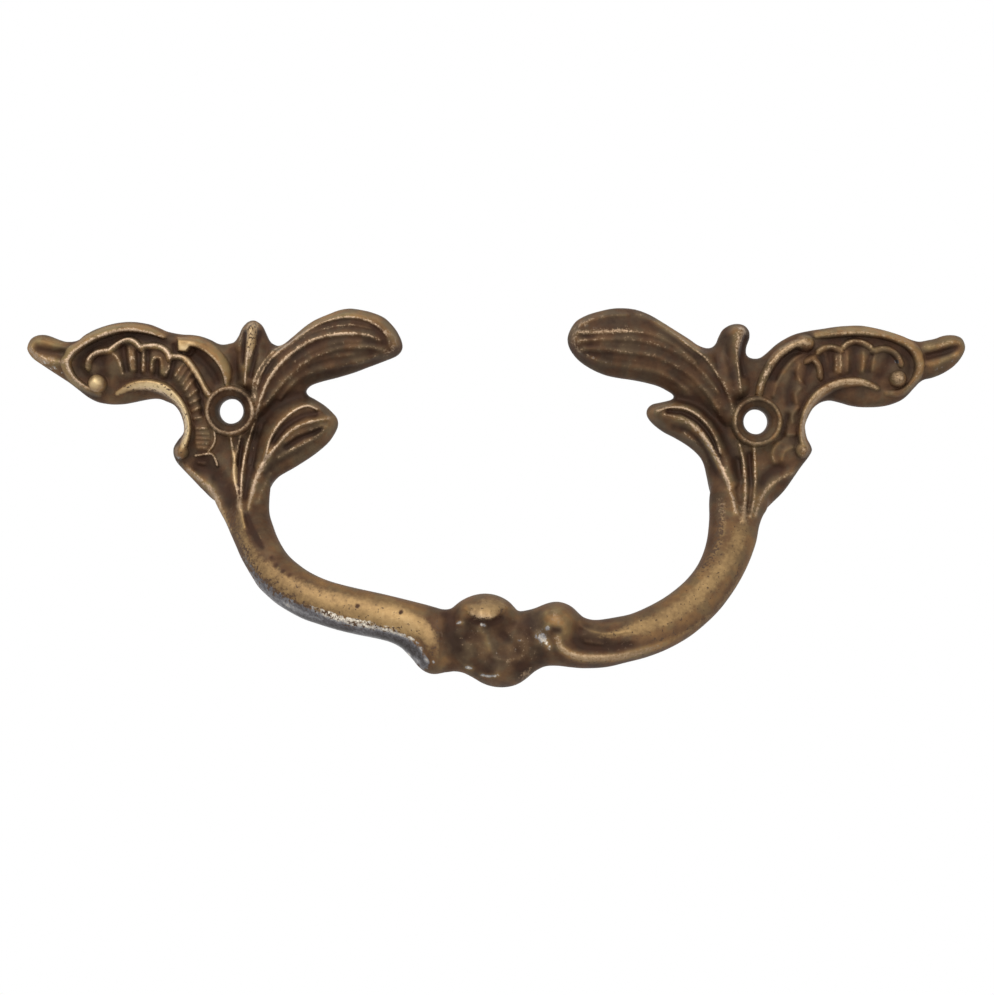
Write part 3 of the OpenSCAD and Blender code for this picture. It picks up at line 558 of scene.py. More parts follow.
# stem
rib([0.3, 0.35, 0.55, 0.4, 0.3], 0.5, [0.5, 0.7, 0.9, 0.66, 0.6],
    [(-39.9, -3.8), (-39.6, -5.6), (-39.2, -7.6), (-38.9, -10), (-38.3, -12.6), (-37.8, -14.8)])
rib(0.3, 0.4, 0.55, [(-38.4, -3.7), (-38.8, -5.6), (-39.1, -7.6)])
rubbed_stem = [(-39.4, -6.6), (-39.1, -8.4), (-38.8, -10.6)]
paint(worn, [0.15, 0.45, 0.3], 0.85, rubbed_stem)
paint(yellow, 0.6, 0.7, rubbed_stem)
rib([0.3, 0.35, 0.4, 0.4], 0.5, [0.4, 0.66, 0.72, 0.7, 0.75],
    [(-36.4, -1.8), (-37.2, -4.6), (-37.7, -7), (-37.9, -9.5), (-37.8, -12), (-37.5, -14.6),
     (-36.6, -17.4)])
rib([0.3, 0.4, 0.3], 0.3, [0.2, 0.4, 0.3], [(-35.6, -2.2), (-36.3, -5), (-36.8, -8)])
rib([0.45, 0.6, 0.7, 0.6, 0.4], 0.55, [0.85, 0.8, 0.8, 0.8, 0.6],
    [(-34.2, -6.8), (-35.1, -8.8), (-35.8, -10.8), (-36.2, -12.8), (-36.3, -14.8)])
rib(0.4, 0.3, 0.35, [(-33.8, -9.4), (-34.5, -11.4), (-35, -13.6)])
rib([0.4, 0.7, 0.8, 0.6], 0.6, [0.45, 0.62, 0.62, 0.62, 0.55],
    [(-46.6, -8.6), (-44.4, -10.6), (-42.8, -11.9), (-41.6, -13.4), (-40.3, -15.6), (-38.9, -18)], right=1)
hollow(0.5, 0.4, [(-38.4, -4.4), (-38.5, -7.5), (-38.4, -10.5), (-38, -13)])
hollow(0.7, 0.45, [(-36.2, -3.6), (-36.6, -7), (-37, -10), (-37.1, -13)])
hollow(1.1, 0.5, [(-44.4, -8.4), (-42.2, -9.4), (-40.6, -11.2), (-39.4, -13.6)])
paint(tone, 1, 0.2, [(-43.6, -7.4), (-41.8, -9), (-40.6, -11.2)])
paint(tone, 0.6, 0.8, [(-46.4, -9.3), (-44.4, -10.6), (-42.4, -12.6), (-41, -15)])
# a silvery reflection painted along the lower edge by the foot
paint(silver, 0.6, [0.3, 0.3, 0.1], [(-47.8, -8.1), (-46, -9.8), (-44.4, -11.6)])


# The right back plate: the same parts in a pattern of its own, softer carved, with a deeper tail. It too is
# part of the casting, flat behind, and lies on the drawer front.
right_outline = [
    (43, -12.2), (44.7, -10.4), (46.2, -8.2), (47.2, -6.7), (48.3, -5.2), (48.8, -4.2), (48.6, -3.4),
    (48.1, -2.5), (47.8, -1.5), (47.7, -0.3), (48.1, 0.9), (48.8, 2.2), (49.7, 3), (50.5, 3.35),
    (51.5, 3.5), (53, 3.2), (54.5, 2.8), (56, 2.6), (57.5, 2.6), (59, 2.7), (60.5, 3), (62, 3.6), (63, 4.3),
    (64, 5.4), (65, 6.5), (65.8, 7), (67, 7.3), (68.6, 8), (70.2, 9.1), (71.3, 10.4), (71.9, 11.8),
    (71.7, 12.9), (71.1, 13.6), (69.9, 13.9), (68.5, 13.75), (67.3, 13.3), (66, 13), (64.8, 12.8),
    (63.5, 13.1), (62, 13.7), (60, 14.3), (58, 14.75), (56, 15.05), (54, 15), (52, 14.8), (50, 14.45),
    (48, 14.1), (46, 13.6), (44.5, 12.9), (43, 11.9), (41.5, 10.5), (40.5, 9.8), (39.5, 9.7), (38.7, 10),
    (38.4, 10.6), (38.5, 11.6), (38.9, 12.8), (38.8, 13.9), (38.1, 14.7), (37, 14.95), (35.8, 14.7),
    (34.8, 14), (34.2, 12.9), (33.8, 11.9), (33.2, 11.3), (32.3, 11.15), (31, 11.6), (29.5, 12.6),
    (27.5, 13.8), (25.5, 15), (23.5, 16.1), (21.5, 16.8), (19.5, 17), (17.5, 16.85), (15, 16.2),
    (13.5, 15.6), (12.3, 14.8), (11.5, 13.6), (11.1, 12.3), (11.3, 11), (12, 9.8), (13.2, 8.6), (15, 7.5),
    (17, 6.7), (19, 6.3), (21, 6.05), (23, 5.7), (25, 5.2), (26.3, 4.6), (27.3, 4), (27.5, 3.5), (27, 3.1),
    (25.5, 2.7), (24.3, 2.4), (23.6, 1.8), (23.4, 1), (23.7, 0.2), (24.5, -0.7), (26, -1.8), (28, -2.8),
    (30, -4), (31.5, -5.3), (32.3, -6.6), (32.8, -8.5), (33.3, -10.6), (34, -12.4), (35.4, -13.8),
    (38.5, -14.4), (41.2, -13.8),
]

# tail
paint(tone, 2.6, 0.66, [(70, 12), (68, 10.9), (66, 10)])
rib(0.8, [0.4, 0.5, 0.5, 0.3], 0.42, [(70.6, 12.6), (69.3, 12.7), (68, 12.3), (66.4, 12), (65.4, 11.9)])
rib(0.4, 0.35, 0.35, [(70.4, 10.9), (69, 10.2), (67.5, 9.5), (66.2, 9.1)], right=0.8)
hollow(0.6, 0.6, [(70.2, 12), (69, 11.4), (67.4, 10.9), (65.8, 10.5)])
paint(tone, 0.8, 0.7, [(70.4, 12.9), (68.6, 12.9), (66.4, 12.2)])
# silvery highlights painted as specks on the tail's lower part
paint(silver, 0.4, 0.3, [(69.8, 9.9), (68, 8.9), (66.6, 8.3)])

# rolled rim
bead([0.6, 1.3, 1.5, 1.5, 1.3, 1, 0.9, 0.5], [0.6, 1.1, 1.15, 1.15, 1.1, 1.1, 0.9, 0.4],
    [0.35, 0.5, 0.5, 0.3, 0.35, 0.45, 0.35, 0.3],
    [(48.9, 13.3), (51, 13.5), (54, 13.8), (56.5, 13.8), (59, 13.5), (61, 12.9), (62.8, 12), (63.9, 10.8),
     (64.4, 9.5), (64.4, 8.2), (63.9, 6.8), (62.8, 5.5), (61.4, 4.8), (59.8, 4.7)], right=0.6)
paint(tone, 0.7, 0.75,
    [(49, 13.9), (52, 14.3), (56, 14.5), (60, 13.8), (63, 12.6), (64.9, 10.8), (65.1, 9), (64.6, 7)])
hollow(0.6, 0.2,
    [(50, 12.5), (52.4, 12.7), (53.6, 13), (57, 12.9), (60, 12.5), (62.2, 11.4), (63.2, 9.6),
     (63.2, 8)], shade=0.36)

# fluted lobes
for shine, line in (
    ([0.4, 0.45, 0.3], [(61.9, 9.2), (61.3, 10.5), (60.3, 11.3), (59, 11.6), (57.5, 11.2)]),
    (0.75, [(57.2, 11.7), (56.3, 12.3), (55, 12.6), (53.8, 12.4), (52.9, 11.7)]),
    (0.5, [(52.6, 11.2), (51.5, 11.6), (50, 11.5), (49.1, 10.9)]),
    ([0.3, 0.5, 0.45, 0.3], [(47.6, 9.2), (48.2, 9.6), (48.9, 9), (49.3, 8), (49.4, 7)]),
):
    bead(0.7, 0.8, 0.75 * np.array(shine), line, right=0.42)
swell(3, 0.6, [(60.5, 8.4), (57, 9.2), (53.5, 9), (50, 8.2), (47, 6), (45.4, 2.5), (44.6, -1), (44, -4)])
for width, depth, line in (
    (1, 0.55, [(60.2, 10), (59.4, 8.8), (58.8, 7.6)]),
    (0.5, 0.4, [(57.4, 10.6), (57, 9.4), (56.8, 8)]),
    (0.9, 0.5, [(55, 11.4), (54.8, 9.8), (54.7, 8)]),
    (0.6, 0.45, [(51, 10.8), (51.1, 9.4), (51.2, 8)]),
    (0.5, 0.4, [(49.9, 10), (50.2, 8.6), (50.4, 7.2)]),
    (0.7, 0.45, [(47.9, 8.4), (47.4, 7), (47.2, 5.8)]),
    (0.7, 0.45, [(45.6, 7.2), (44.9, 5), (44.9, 3)]),
    (0.5, 0.4, [(44.6, 1), (44.3, -0.8), (43.8, -2.6)]),
):
    hollow(width, depth, line, shade=0.2)
for shine, line in (
    (0.65, [(52.5, 10.3), (52.6, 9), (52.5, 7.8)]),
    (0.5, [(51.9, 10.1), (51.9, 9), (51.9, 8)]),
    (0.25, [(57.9, 10.8), (57.5, 9.6), (57.4, 8.2)]),
    (0.3, [(53.6, 10.8), (53.6, 9.4), (53.6, 8)]),
    (0.25, [(56, 10.8), (56, 9.4), (55.9, 8)]),
    (0.3, [(49, 10.4), (48.4, 9.9)]),
    (0.25, [(46.4, 8.8), (46, 7.6), (46.4, 6.4), (47.2, 5.6)]),
    (0.25, [(46.6, 5.2), (45.8, 4.2), (46, 3)]),
    (0.25, [(46.2, 2.2), (45.4, 1.2), (45.4, 0)]),
    (0.3, [(42.5, 4), (43.1, 6), (44.2, 8), (45.8, 9.8), (47.4, 10.7)]),
    (0.35, [(42.9, -6.2), (42.5, -4.8), (43, -3.6), (44, -2.7)]),
    (0.3, [(45.5, -3.8), (44.3, -4.5), (43.9, -5.8)]),
    (0.2, [(45.8, -1.8), (44.8, -1.9)]),
):
    rib(0.36, 0.35, 0.8 * shine, line)
knob(1.3, 1.9, 0.6, (61.3, 6.9))
paint(worn, 0.7, 0.6, [(60.9, 7.2), (61.5, 7.5)])
# a painted glint, bright and silvery, above the knob
paint(silver, 0.25, 1, [(61.2, 9.5), (61.1, 9.6)])

# scrolls
bead([0.4, 1, 1.2, 1.2, 1.2, 1], [0.6, 1.3, 1.3, 1.4, 1.4, 1.2], [0.45, 0.6, 0.5, 0.45, 0.45, 0.3],
    [(58.2, 5.4), (56.5, 6.2), (55, 6.5), (53.5, 6.4), (52, 6.1), (50.6, 5.5), (49.2, 4.5), (48, 3),
     (47.2, 1.2), (46.9, -0.8), (46.9, -2.4), (47.2, -3.6)], right=0.6)
paint(worn, 0.5, [0.4, 0.62, 0.6, 0.55, 0.5, 0.52, 0.4],
    [(57.6, 5.6), (55.4, 6.3), (52.6, 6.1), (50.2, 5), (48.4, 3.1), (47.5, 1), (47.2, -1.2), (47.3, -3)])
paint(tone, 0.8, 0.75, [(50.6, 5), (49.4, 4.2), (48, 2), (47.5, -0.6), (47.6, -3)])
knob(1.3, 1.4, 0.35, (47.2, -4.2))
paint(tone, 0.4, 0.3, [(47.1, -4.2), (47.3, -4.1)])
bead([0.5, 0.75, 0.85, 0.8], [0.9, 1.3, 1.4, 1.4], [0.4, 0.6, 0.62, 0.55],
    [(40.2, 4.3), (40.6, 6), (41.6, 8), (43, 10), (44.8, 11.4), (46.2, 12), (47.1, 12)], right=0.8)
paint(worn, [0.4, 0.6, 0.8], [0.4, 0.58, 0.6], [(41.6, 7.9), (43.2, 10.1), (44.9, 11.5), (46.8, 12.2)], 3)
knob(1.4, 1.6, 0.5, (47.1, 12.1))
paint(tone, 0.7, 0.7, [(42.6, 10.6), (44.4, 12.2), (46.8, 13.2)])
hollow(0.8, 0.45, [(42.6, 7), (43.6, 9), (45.2, 10.6), (47.6, 11)])

# bud
swell([1.9, 2.2, 2.4, 2.3], 1.3, [(36.8, 13.4), (36.2, 11.2), (36, 8.6), (36.8, 5.4)])
rib([0.8, 0.5, 0.3, 0.25, 0.25], [0.5, 0.6, 0.5, 0.45, 0.4], [0.5, 0.55, 0.5, 0.5, 0.45],
    [(37.4, 13.9), (37, 12.8), (36.7, 11), (36.8, 9), (37.1, 7), (37.5, 4.2)])
paint(worn, [0.8, 0.6], [0.5, 0.45], [(37.6, 13.7), (37.3, 12.4), (36.9, 11.2)])
hollow(0.4, 0.45, [(38, 12.8), (37.6, 11.4), (37.5, 9.4), (37.9, 7)])
hollow(0.6, 0.35, [(35.3, 12.6), (35.2, 10.4), (35.8, 8), (36.4, 5.6)], shade=0.25)

# upper leaf
right_spine = [(36, 1), (34.4, 5), (30.5, 8.8), (26.5, 10.6), (22, 11.6), (17, 11.9), (14, 12.1)]
paint(tone, [2, 3, 4, 4, 4], 0.22, right_spine)
swell([2, 4, 5.2, 5.4, 4.8], 1.1, right_spine)
rib([0.5, 0.9, 0.9, 0.8, 0.4], [0.3, 0.5, 0.5, 0.45, 0.35], [0.2, 0.4, 0.6, 0.45, 0.5, 0.3],
    [(21.5, 16), (25, 14.5), (27.5, 12.8), (30, 10.9), (32, 9.4), (33.7, 7.2), (35, 5), (36, 2.6),
     (36.4, 0.5)], right=0.3)
for shine, rise, line in (
    ([0.65, 0.4, 0.2], 0.35, [(12.9, 14.2), (15, 15.1), (17.5, 15.7), (20, 15.9)]),
    ([0.4, 0.7, 0.85, 0.3, 0.2, 0.2], 0.45,
     [(12.6, 13), (15.5, 13), (18.5, 13.2), (21.5, 13.2), (24.5, 12.6), (27.5, 11.1), (30.5, 8.8)]),
    ([0.5, 0.3, 0.4, 0.25, 0.3], 0.35,
     [(12.8, 11.7), (16, 11.9), (19.5, 12), (23, 11.7), (26, 10.8), (29, 9.3), (31.7, 7.1), (34, 4.3)]),
    ([0.25, 0.45, 0.4, 0.2, 0.3], 0.35,
     [(13.6, 10.5), (17, 10.4), (20, 10.1), (23.5, 9.7), (26.5, 8.7), (29.5, 6.9), (32, 4.6), (34, 1.9)]),
    ([0.5, 0.3, 0.3, 0.2], 0.3,
     [(13, 10.2), (15, 9), (17.5, 8.2), (20.5, 7.9), (23.5, 7.5), (26.5, 6.5), (29.2, 4.6)]),
    (0.2, 0.12, [(16, 14), (20, 14.2), (24, 13.4), (27.6, 11.8), (31, 9)]),
    (0.2, 0.12, [(15, 12.4), (19, 12.6), (23, 12.2), (27, 10.8), (30.6, 8.2)]),
    (0.2, 0.12, [(16, 11.2), (20, 11.1), (24, 10.6), (28, 9), (31.4, 6.2), (33.8, 3)]),
    (0.15, 0.12, [(17, 9.3), (21, 8.9), (25, 8.1), (28.6, 6.4), (31.6, 3.8), (33.6, 1)]),
    (0.3, 0.12, [(30.6, 5.6), (32.6, 3.6), (34.4, 1)]),
    (0.3, 0.12, [(31.6, 6.4), (33.4, 4.4), (35, 1.8)]),
):
    rib([0.3, 0.6, 0.6, 0.3], rise, 0.7 * np.array(shine), line, right=0.4)
paint(tone, [0.7, 0.6, 0.5], 0.6, [(12, 12), (12.3, 14), (14.4, 15.7), (18, 16.4)])
paint(worn, 1, 0.44, [(12.6, 10.6), (12.1, 12.4), (12.8, 14.2)], 2)
paint(worn, [0.8, 0.6, 0.4], [0.46, 0.56, 0.5], [(14, 13.2), (17, 13.3), (20, 13.4)], 2)
# silvery highlights painted near the leaf's tip
paint(silver, [0.8, 1.2, 0.8], 0.28, [(12.6, 13.6), (15, 13.4), (19, 13.2)])
paint(silver, 0.7, 0.28, [(12.6, 11.4), (14.6, 9.6), (18, 8.3)])
paint(tone, 0.3, 0, [(13.4, 12.3), (15.4, 12.4)])
paint(tone, 0.3, 0, [(13.6, 9.9), (15.2, 9.7)])
paint(tone, 0.8, 0.7, [(25, 14.7), (28, 12.8), (30.6, 11)])

# lower leaf
swell([1.5, 3, 3.4, 2.8], 1.1, [(36.5, -9), (34.6, -4.6), (31.2, -1.6), (28, 0.2), (25.4, 1.1)])
rib([0.6, 1, 0.9, 0.6], 0.6, [0.6, 0.85, 0.7, 0.5, 0.4],
    [(24.8, 1.2), (26.2, 1.8), (28, 1.9), (29.7, 1.5), (31.3, 0.5), (32.8, -1), (33.8, -2.8),
     (34.5, -4.8)], right=0.3)
rib([0.4, 0.55, 0.7, 0.7, 0.6], 0.55, [0.35, 0.5, 0.85, 0.85, 0.75, 0.7],
    [(26, 0.7), (28.5, 0.1), (30.5, -1.1), (32, -2.7), (33.4, -4.6), (34.5, -6.6), (35.4, -8.8),
     (36.1, -11.2), (36.6, -13.8)], right=0.5)
rib(0.3, 0.3, 0.35, [(29, -2), (30.8, -3.4), (32.2, -5), (33, -6.8)])
rib(0.25, 0.2, 0.3, [(28.4, 0.7), (30.4, -0.3), (32, -1.9), (33.3, -3.8)])
hollow(0.5, 0.4, [(26.6, 1.2), (29, 0.9), (31, -0.3), (32.6, -2), (33.8, -4.2), (34.9, -6.8)])
hollow(0.5, 0.3, [(27.5, -1), (29.8, -2), (31.6, -3.8), (32.9, -5.8), (33.8, -8)], shade=0.25)
hollow(0.9, 0.5, [(28.4, 3.2), (31, 2.4), (33.4, 0.4), (35, -2.2), (36.3, -5.4), (36.9, -8.6)])
# a painted highlight on the leaf's lower edge, silvery specks on light cream
leaf_edge = [(32.2, -3), (33.5, -5), (34.5, -7)]
paint(silver, 0.35, [0.3, 0.42, 0.3], leaf_edge)
paint(tone, 0.35, 0.9, leaf_edge)

# stem
rib([0.3, 0.4, 0.4], 0.5, [0.4, 0.6, 0.62],
    [(37.5, -3.5), (38.1, -6), (38.3, -9), (38.2, -12), (37.7, -15)])
rib(0.34, 0.45, 0.55, [(39.7, -3.9), (39.9, -7), (39.9, -9.5), (39.5, -12), (38.8, -14.4)])
rib([0.45, 0.6, 0.45], 0.55, [0.4, 0.6, 0.55],
    [(45.8, -7.6), (43.7, -8.7), (42.1, -9.9), (40.8, -11.6), (39.7, -14.2)], right=0.8)
hollow(0.6, 0.4, [(37.2, -6), (37.3, -9), (37.3, -12)])
hollow(0.5, 0.4, [(39.1, -5), (39.2, -8), (39.1, -11), (38.6, -13.4)])
hollow(0.9, 0.4, [(43.6, -7), (41.6, -8.4), (40.6, -10.4)])

# the right plate is less rubbed, and its shell is lower, darker and more golden than the left one
LESS_RUBBED, LOWER, DARKER, GOLDEN = 0.12, 0.14, 0.06, 0.45
SHELL_FROM = 41, 43
on_shell = step(X, *SHELL_FROM)
worn *= 1 - LESS_RUBBED * step(X, 0, 1)
beads *= 1 - LOWER * on_shell
folds *= 1 - LOWER * on_shell
yellow = np.maximum(yellow, GOLDEN * on_shell)
tone -= DARKER * on_shell


# The bail: an oval bar that grows out of both plates, swings forward and down, and joins in the boss. Its
# two edges follow the photograph, and its middle line carries its depth in front of the drawer.
bail_inner = [
    (-35.4, -6), (-34, -8.6), (-33.7, -10.8), (-33.6, -13.3), (-33.3, -15.5), (-32.5, -17.4),
    (-31.3, -19.6), (-29.8, -21.5), (-27.8, -23), (-25.8, -24.1), (-23.4, -25), (-20, -25.8), (-15, -26.75),
    (-10, -27.85), (-8, -28.35), (-6.7, -28.65), (-5.5, -28.5), (-4, -27.6), (-2, -26.8), (-0.5, -26.55),
    (1, -26.8), (2.5, -27.5), (3.5, -28.3), (4.3, -28.7), (6, -28.4), (8, -27.7), (9.8, -27.4),
    (11.5, -27.9), (12.8, -28.8), (13.9, -29.5), (15.5, -29.75), (18, -29.4), (21, -28.7), (25, -26.8),
    (28, -24.7), (30, -22.7), (31.4, -20.5), (32.3, -18), (32.8, -15), (32.9, -12.5), (33.2, -10.6),
    (33.8, -8.6), (35.2, -6),
]
bail_outer = [
    (-42.6, -7), (-42.8, -10), (-42.4, -12.6), (-41.8, -14), (-41, -15.3), (-40, -16.8), (-39, -18.5),
    (-38, -20.2), (-37, -22), (-36, -23.5), (-35, -24.9), (-34, -26.2), (-32.5, -27.5), (-31, -28.6),
    (-29, -29.7), (-27, -30.6), (-25, -31.2), (-22, -32), (-19, -32.6), (-16, -33.1), (-14, -33.6),
    (-12.6, -34.3), (-11.8, -35), (-10.8, -36), (-9.9, -36.9), (-8.7, -37.5), (-7.5, -37.75), (-6, -37.65),
    (-4.8, -37.5), (-3.5, -37.7), (-2, -38.4), (-0.5, -39.1), (1, -39.45), (2.5, -39.45), (4, -39.1),
    (5.5, -38.2), (7, -37.1), (8.3, -36.5), (10, -36.4), (12, -36.6), (14, -36.7), (17, -36.5), (20, -35.8),
    (23, -35), (26.1, -33.8), (29.2, -32.1), (31.8, -30.1), (33.9, -28.1), (35.9, -25.6), (37.4, -23.3),
    (38.7, -20.8), (39.7, -18.3), (40.3, -16), (41, -14.4), (41.8, -13.1), (42.2, -11), (42.8, -9),
    (43, -7),
]
# x, z, depth of the middle line in front of the drawer, and half the bar's thickness
bail_middle = [
    (-38.6, -6, 0.6, 1.1), (-38.4, -8.6, 1.5, 1.8), (-38.1, -11.8, 2.7, 2.5), (-37.3, -14.7, 5, 2.95),
    (-36.1, -17.4, 7.6, 3.1), (-34.8, -20, 10.1, 3.2), (-32.6, -23, 12.5, 3.2), (-29.7, -25.7, 14.8, 3.2),
    (-25.7, -27.8, 16.6, 3.2), (-21.2, -29, 17.9, 3.2), (-15.8, -30, 18.9, 3.2), (-11.4, -31.2, 19.5, 3.3),
    (-8, -33, 19.9, 3.5), (-4, -32.8, 20, 3.4), (0, -33, 20, 3.5), (5, -33.4, 20, 3.4), (10, -32, 20, 3.5),
    (14.9, -33.2, 19.7, 3.3), (18.5, -32.9, 19, 3.2), (23, -31.6, 17.9, 3.2), (27.5, -29.2, 16, 3.2),
    (31.2, -26.2, 13.7, 3.2), (34, -22.5, 11, 3.2), (35.7, -18.5, 8.2, 3.1), (36.7, -14.6, 5.3, 2.95),
    (37.7, -11.4, 2.7, 2.5), (38.4, -8.3, 1.5, 1.8), (38.8, -6, 0.6, 1.1),
]

inner_line, outer_line, middle_line = map(smooth, (bail_inner, bail_outer, bail_middle))
BAIL_REACH = 2.5
LEAST_HALF_WIDTH = 0.5
bail_part = window(np.vstack([inner_line, outer_line]), BAIL_REACH)
inner_distance, inner_side, _ = nearest(inner_line, bail_part)
outer_distance, outer_side, _ = nearest(outer_line, bail_part)
_, _, along = nearest(middle_line, bail_part)
middle_run = np.concatenate([[0], np.cumsum(np.hypot(*np.diff(middle_line[:, :2], axis=0).T))])
middle_run /= middle_run[-1]
inner_distance *= -inner_side
outer_distance *= outer_side
bail_half = ((inner_distance + outer_distance) / 2).clip(LEAST_HALF_WIDTH)
bail_share = (outer_distance - inner_distance) / (2 * bail_half)
bail_depth = np.interp(along, middle_run, middle_line[:, 2])
bail_thick = np.interp(along, middle_run, middle_line[:, 3])

# The left arm is worn golden on its crown, with pits, and has a silvery reflection painted below, and ends in
# a rounded lip at the boss. The right arm is worn all round and channelled where it meets the boss, with a
# rim that curls under the small knob.
left_crown = [
    (-38, -14.5), (-37.6, -17.2), (-36.7, -19.4), (-34.9, -22), (-31.1, -24.9), (-26.7, -26.9),
    (-21.7, -28.2), (-16, -29.5), (-10.7, -30.9), (-8.6, -32.4), (-7.9, -34.4),
]
left_border = [
    (-36.4, -20.6), (-35.2, -22.8), (-33.3, -25), (-30.2, -27.1), (-26.7, -28.4), (-23.3, -29.8),
    (-20, -30.6), (-16.7, -31), (-13.4, -31.7), (-10.4, -32.6), (-9.1, -34.2),
]
left_underside = [
    (-36.6, -20.9), (-35.8, -22.6), (-34, -25.1), (-31, -27.6), (-27, -29.7), (-22.4, -31.2),
    (-16.5, -32.2), (-12.8, -33.3), (-10.5, -35), (-9.2, -36.4),
]
# both arms are golden from where they leave the plates
GOLDEN_BELOW = 12.5, 16.5
bring(yellow, 1, step(-Z, *GOLDEN_BELOW))
paint(tone, 3.4, 0.44, left_crown[2:])
# a painted sheen: a lighter band along the arm's inner brown side
paint(tone, [0.5, 0.7, 0.8, 0.8, 0.8], [0.5, 0.72, 0.8, 0.85, 0.8],
    [(-33.4, -18.4), (-31, -21), (-27.6, -23.6), (-22, -25.9), (-15.4, -27.3), (-9.6, -28.9)], 2)
paint(worn, [0.9, 1.3, 1.8, 2.2, 2.4, 2.5, 2.7, 2.8, 2.8, 2, 1.3],
    [0.55, 0.58, 0.58, 0.6, 0.63, 0.66, 0.68, 0.72, 0.88, 0.8, 0.55], left_crown, 3)
dark_groove = [(-36.5, -15.9), (-35.6, -17.6), (-34.6, -19), (-33.6, -20.3)]
paint(worn, [0.4, 0.6, 0.6, 0.4], 0, dark_groove)
hollow([0.4, 0.6, 0.6, 0.4], 0.2, dark_groove, shade=0)
paint(worn, 0.2, [0.3, 0.5, 0.3], [(-34.8, -17.4), (-34, -18.9), (-33.2, -20)], 2)
# a painted reflection: the silvery band along the arm's underside, made lighter and darker along its length
# by the tone painted with it
paint(silver, [0.6, 0.8, 1, 1.2, 1.25, 1.2, 1.2, 1.1, 1],
    [0.3, 0.5, 0.75, 0.9, 0.9, 0.9, 0.9, 0.9, 0.8, 0.6], left_underside)
paint(tone, [0.8, 1.2, 1.4, 1.4, 1.2], [0.35, 0.4, 0.46, 0.5, 0.5, 0.42, 0.4, 0.28, 0.3, 0.36],
    left_underside)
paint(tone, [0.2, 0.4, 0.3], [0.55, 0.75, 0.6], [(-32, -27.3), (-28, -29.3), (-24, -30.4)], 2)
paint(tone, 0.5, 0.1, [(-15, -32.9), (-12.4, -33.6), (-10.9, -34.8)], 2)
paint(tone, 0.3, 0.2, [(-30, -28.9), (-26, -30.7), (-20, -32.1)], 2)
# a painted highlight: a bright cream line along the lower border of the gold
painted_highlight_line = [
    (-25.8, -29), (-23, -30), (-20, -30.8), (-16.7, -31.3), (-13.4, -32), (-10.7, -32.9), (-9.5, -34.2),
    (-9, -35.4),
]
paint(tone, [0.2, 0.4, 0.4, 0.34, 0.3], [0.6, 0.95, 1.05, 1, 1, 0.95, 0.7], painted_highlight_line, 2)
paint(silver, [0.2, 0.3, 0.3, 0.3, 0.3], [0.5, 0.6, 0.6, 0.55, 0.6, 0.56, 0.4], painted_highlight_line, 2)
# a lighter streak painted within the silvery reflection
painted_reflection_streak = [(-26.6, -28.3), (-23.4, -29.3), (-20.2, -30.2), (-16.6, -30.7), (-13.4, -31.4)]
paint(silver, 0.4, [0.4, 0.5, 0.5, 0.46, 0.3], painted_reflection_streak, 2)
paint(tone, 0.5, [0.8, 1.1, 1.1, 1.1, 0.8], painted_reflection_streak, 2)
paint(pitted, [1.4, 1.7, 1.8, 1.6], 0.28, left_crown[4:9])
paint(pitted, 1.3, 0.58, [(-38.9, -15.4), (-38.2, -18), (-37, -20.6)], 3)
paint(pitted, [1, 1, 0.9, 0.7, 0.6, 0.6, 0.5, 0.5, 0.5],
    [0.56, 0.62, 0.62, 0.6, 0.56, 0.52, 0.54, 0.5, 0.4, 0.42], left_border, 3)
paint(pitted, 0.3, 0.5, [(-22, -30.9), (-18, -31.6), (-15, -32)], 2)
paint(pitted, 0.9, 0.56, [(-7.2, -30.8), (-7.2, -32.6), (-7.9, -34.6)], 2)
paint(tone, 1.4, 0.7, [(-7.4, -33.6), (-7, -35.4)], 2)
paint(worn, 1, 0.42, [(-7.4, -34.2), (-7, -35.6)], 2)
hollow([0.8, 1.5, 1.4, 0.8], [0.3, 0.6, 0.6, 0.3],
    [(-6.2, -29.2), (-4.9, -31.6), (-4.7, -33.6), (-5.4, -36.6)], shade=0.2)

# the larger pits
PIT_R = 0.26
for place in (
    (-32.1, -21.8), (-31.3, -22.9), (-30.2, -23.7), (-29.2, -24.2), (-19, -28.4), (-12.7, -29.1),
    (30.8, -24.7), (33.8, -24.6), (36.8, -19.2), (35.6, -21.6),
):
    pit = [place, (place[0] + 0.1, place[1] + 0.1)]
    hollow(PIT_R, 0.1, pit, shade=0.15)
    paint(worn, PIT_R, 0.1, pit, 2)

# right arm
right_crown = [
    (38.1, -13.1), (37.1, -16.9), (35.2, -20.6), (30.5, -25.8), (25.4, -29.2), (20.3, -31), (15.6, -32.1),
]
paint(tone, 4.4, [0.66, 0.74, 0.76, 0.76, 0.7, 0.4], right_crown, 6)
paint(tone, [0.8, 0.8, 0.8, 0.9, 0.7], [0.3, 0.36, 0.5, 0.56, 0.4],
    [(33.5, -11.6), (33.2, -16), (31.2, -20.8), (27.2, -25), (22, -27.9), (16, -29.7)], 2)
paint(worn, [1.2, 1.8, 1.9, 2, 1.8, 1.3, 0.7], [0.58, 0.64, 0.68, 0.68, 0.7, 0.7, 0.45], right_crown, 2.4)
paint(pitted, 2.6, 0.25, right_crown)
paint(worn, 0.9, [0.4, 0.54, 0.54, 0.44], [(34.6, -12), (34.5, -16), (33.4, -19.4), (30.6, -23)], 2)
paint(pitted, 0.9, [0.6, 0.72, 0.68, 0.5], [(34.4, -12), (34.2, -16), (33, -19.4), (30.2, -23)], 2)
right_seam = [
    (37.3, -21), (36.2, -23.6), (34.1, -26.6), (32.3, -28.7), (29.8, -30.4), (26, -31.9), (24.1, -32.5),
    (21.2, -33.1), (18.3, -33.7),
]
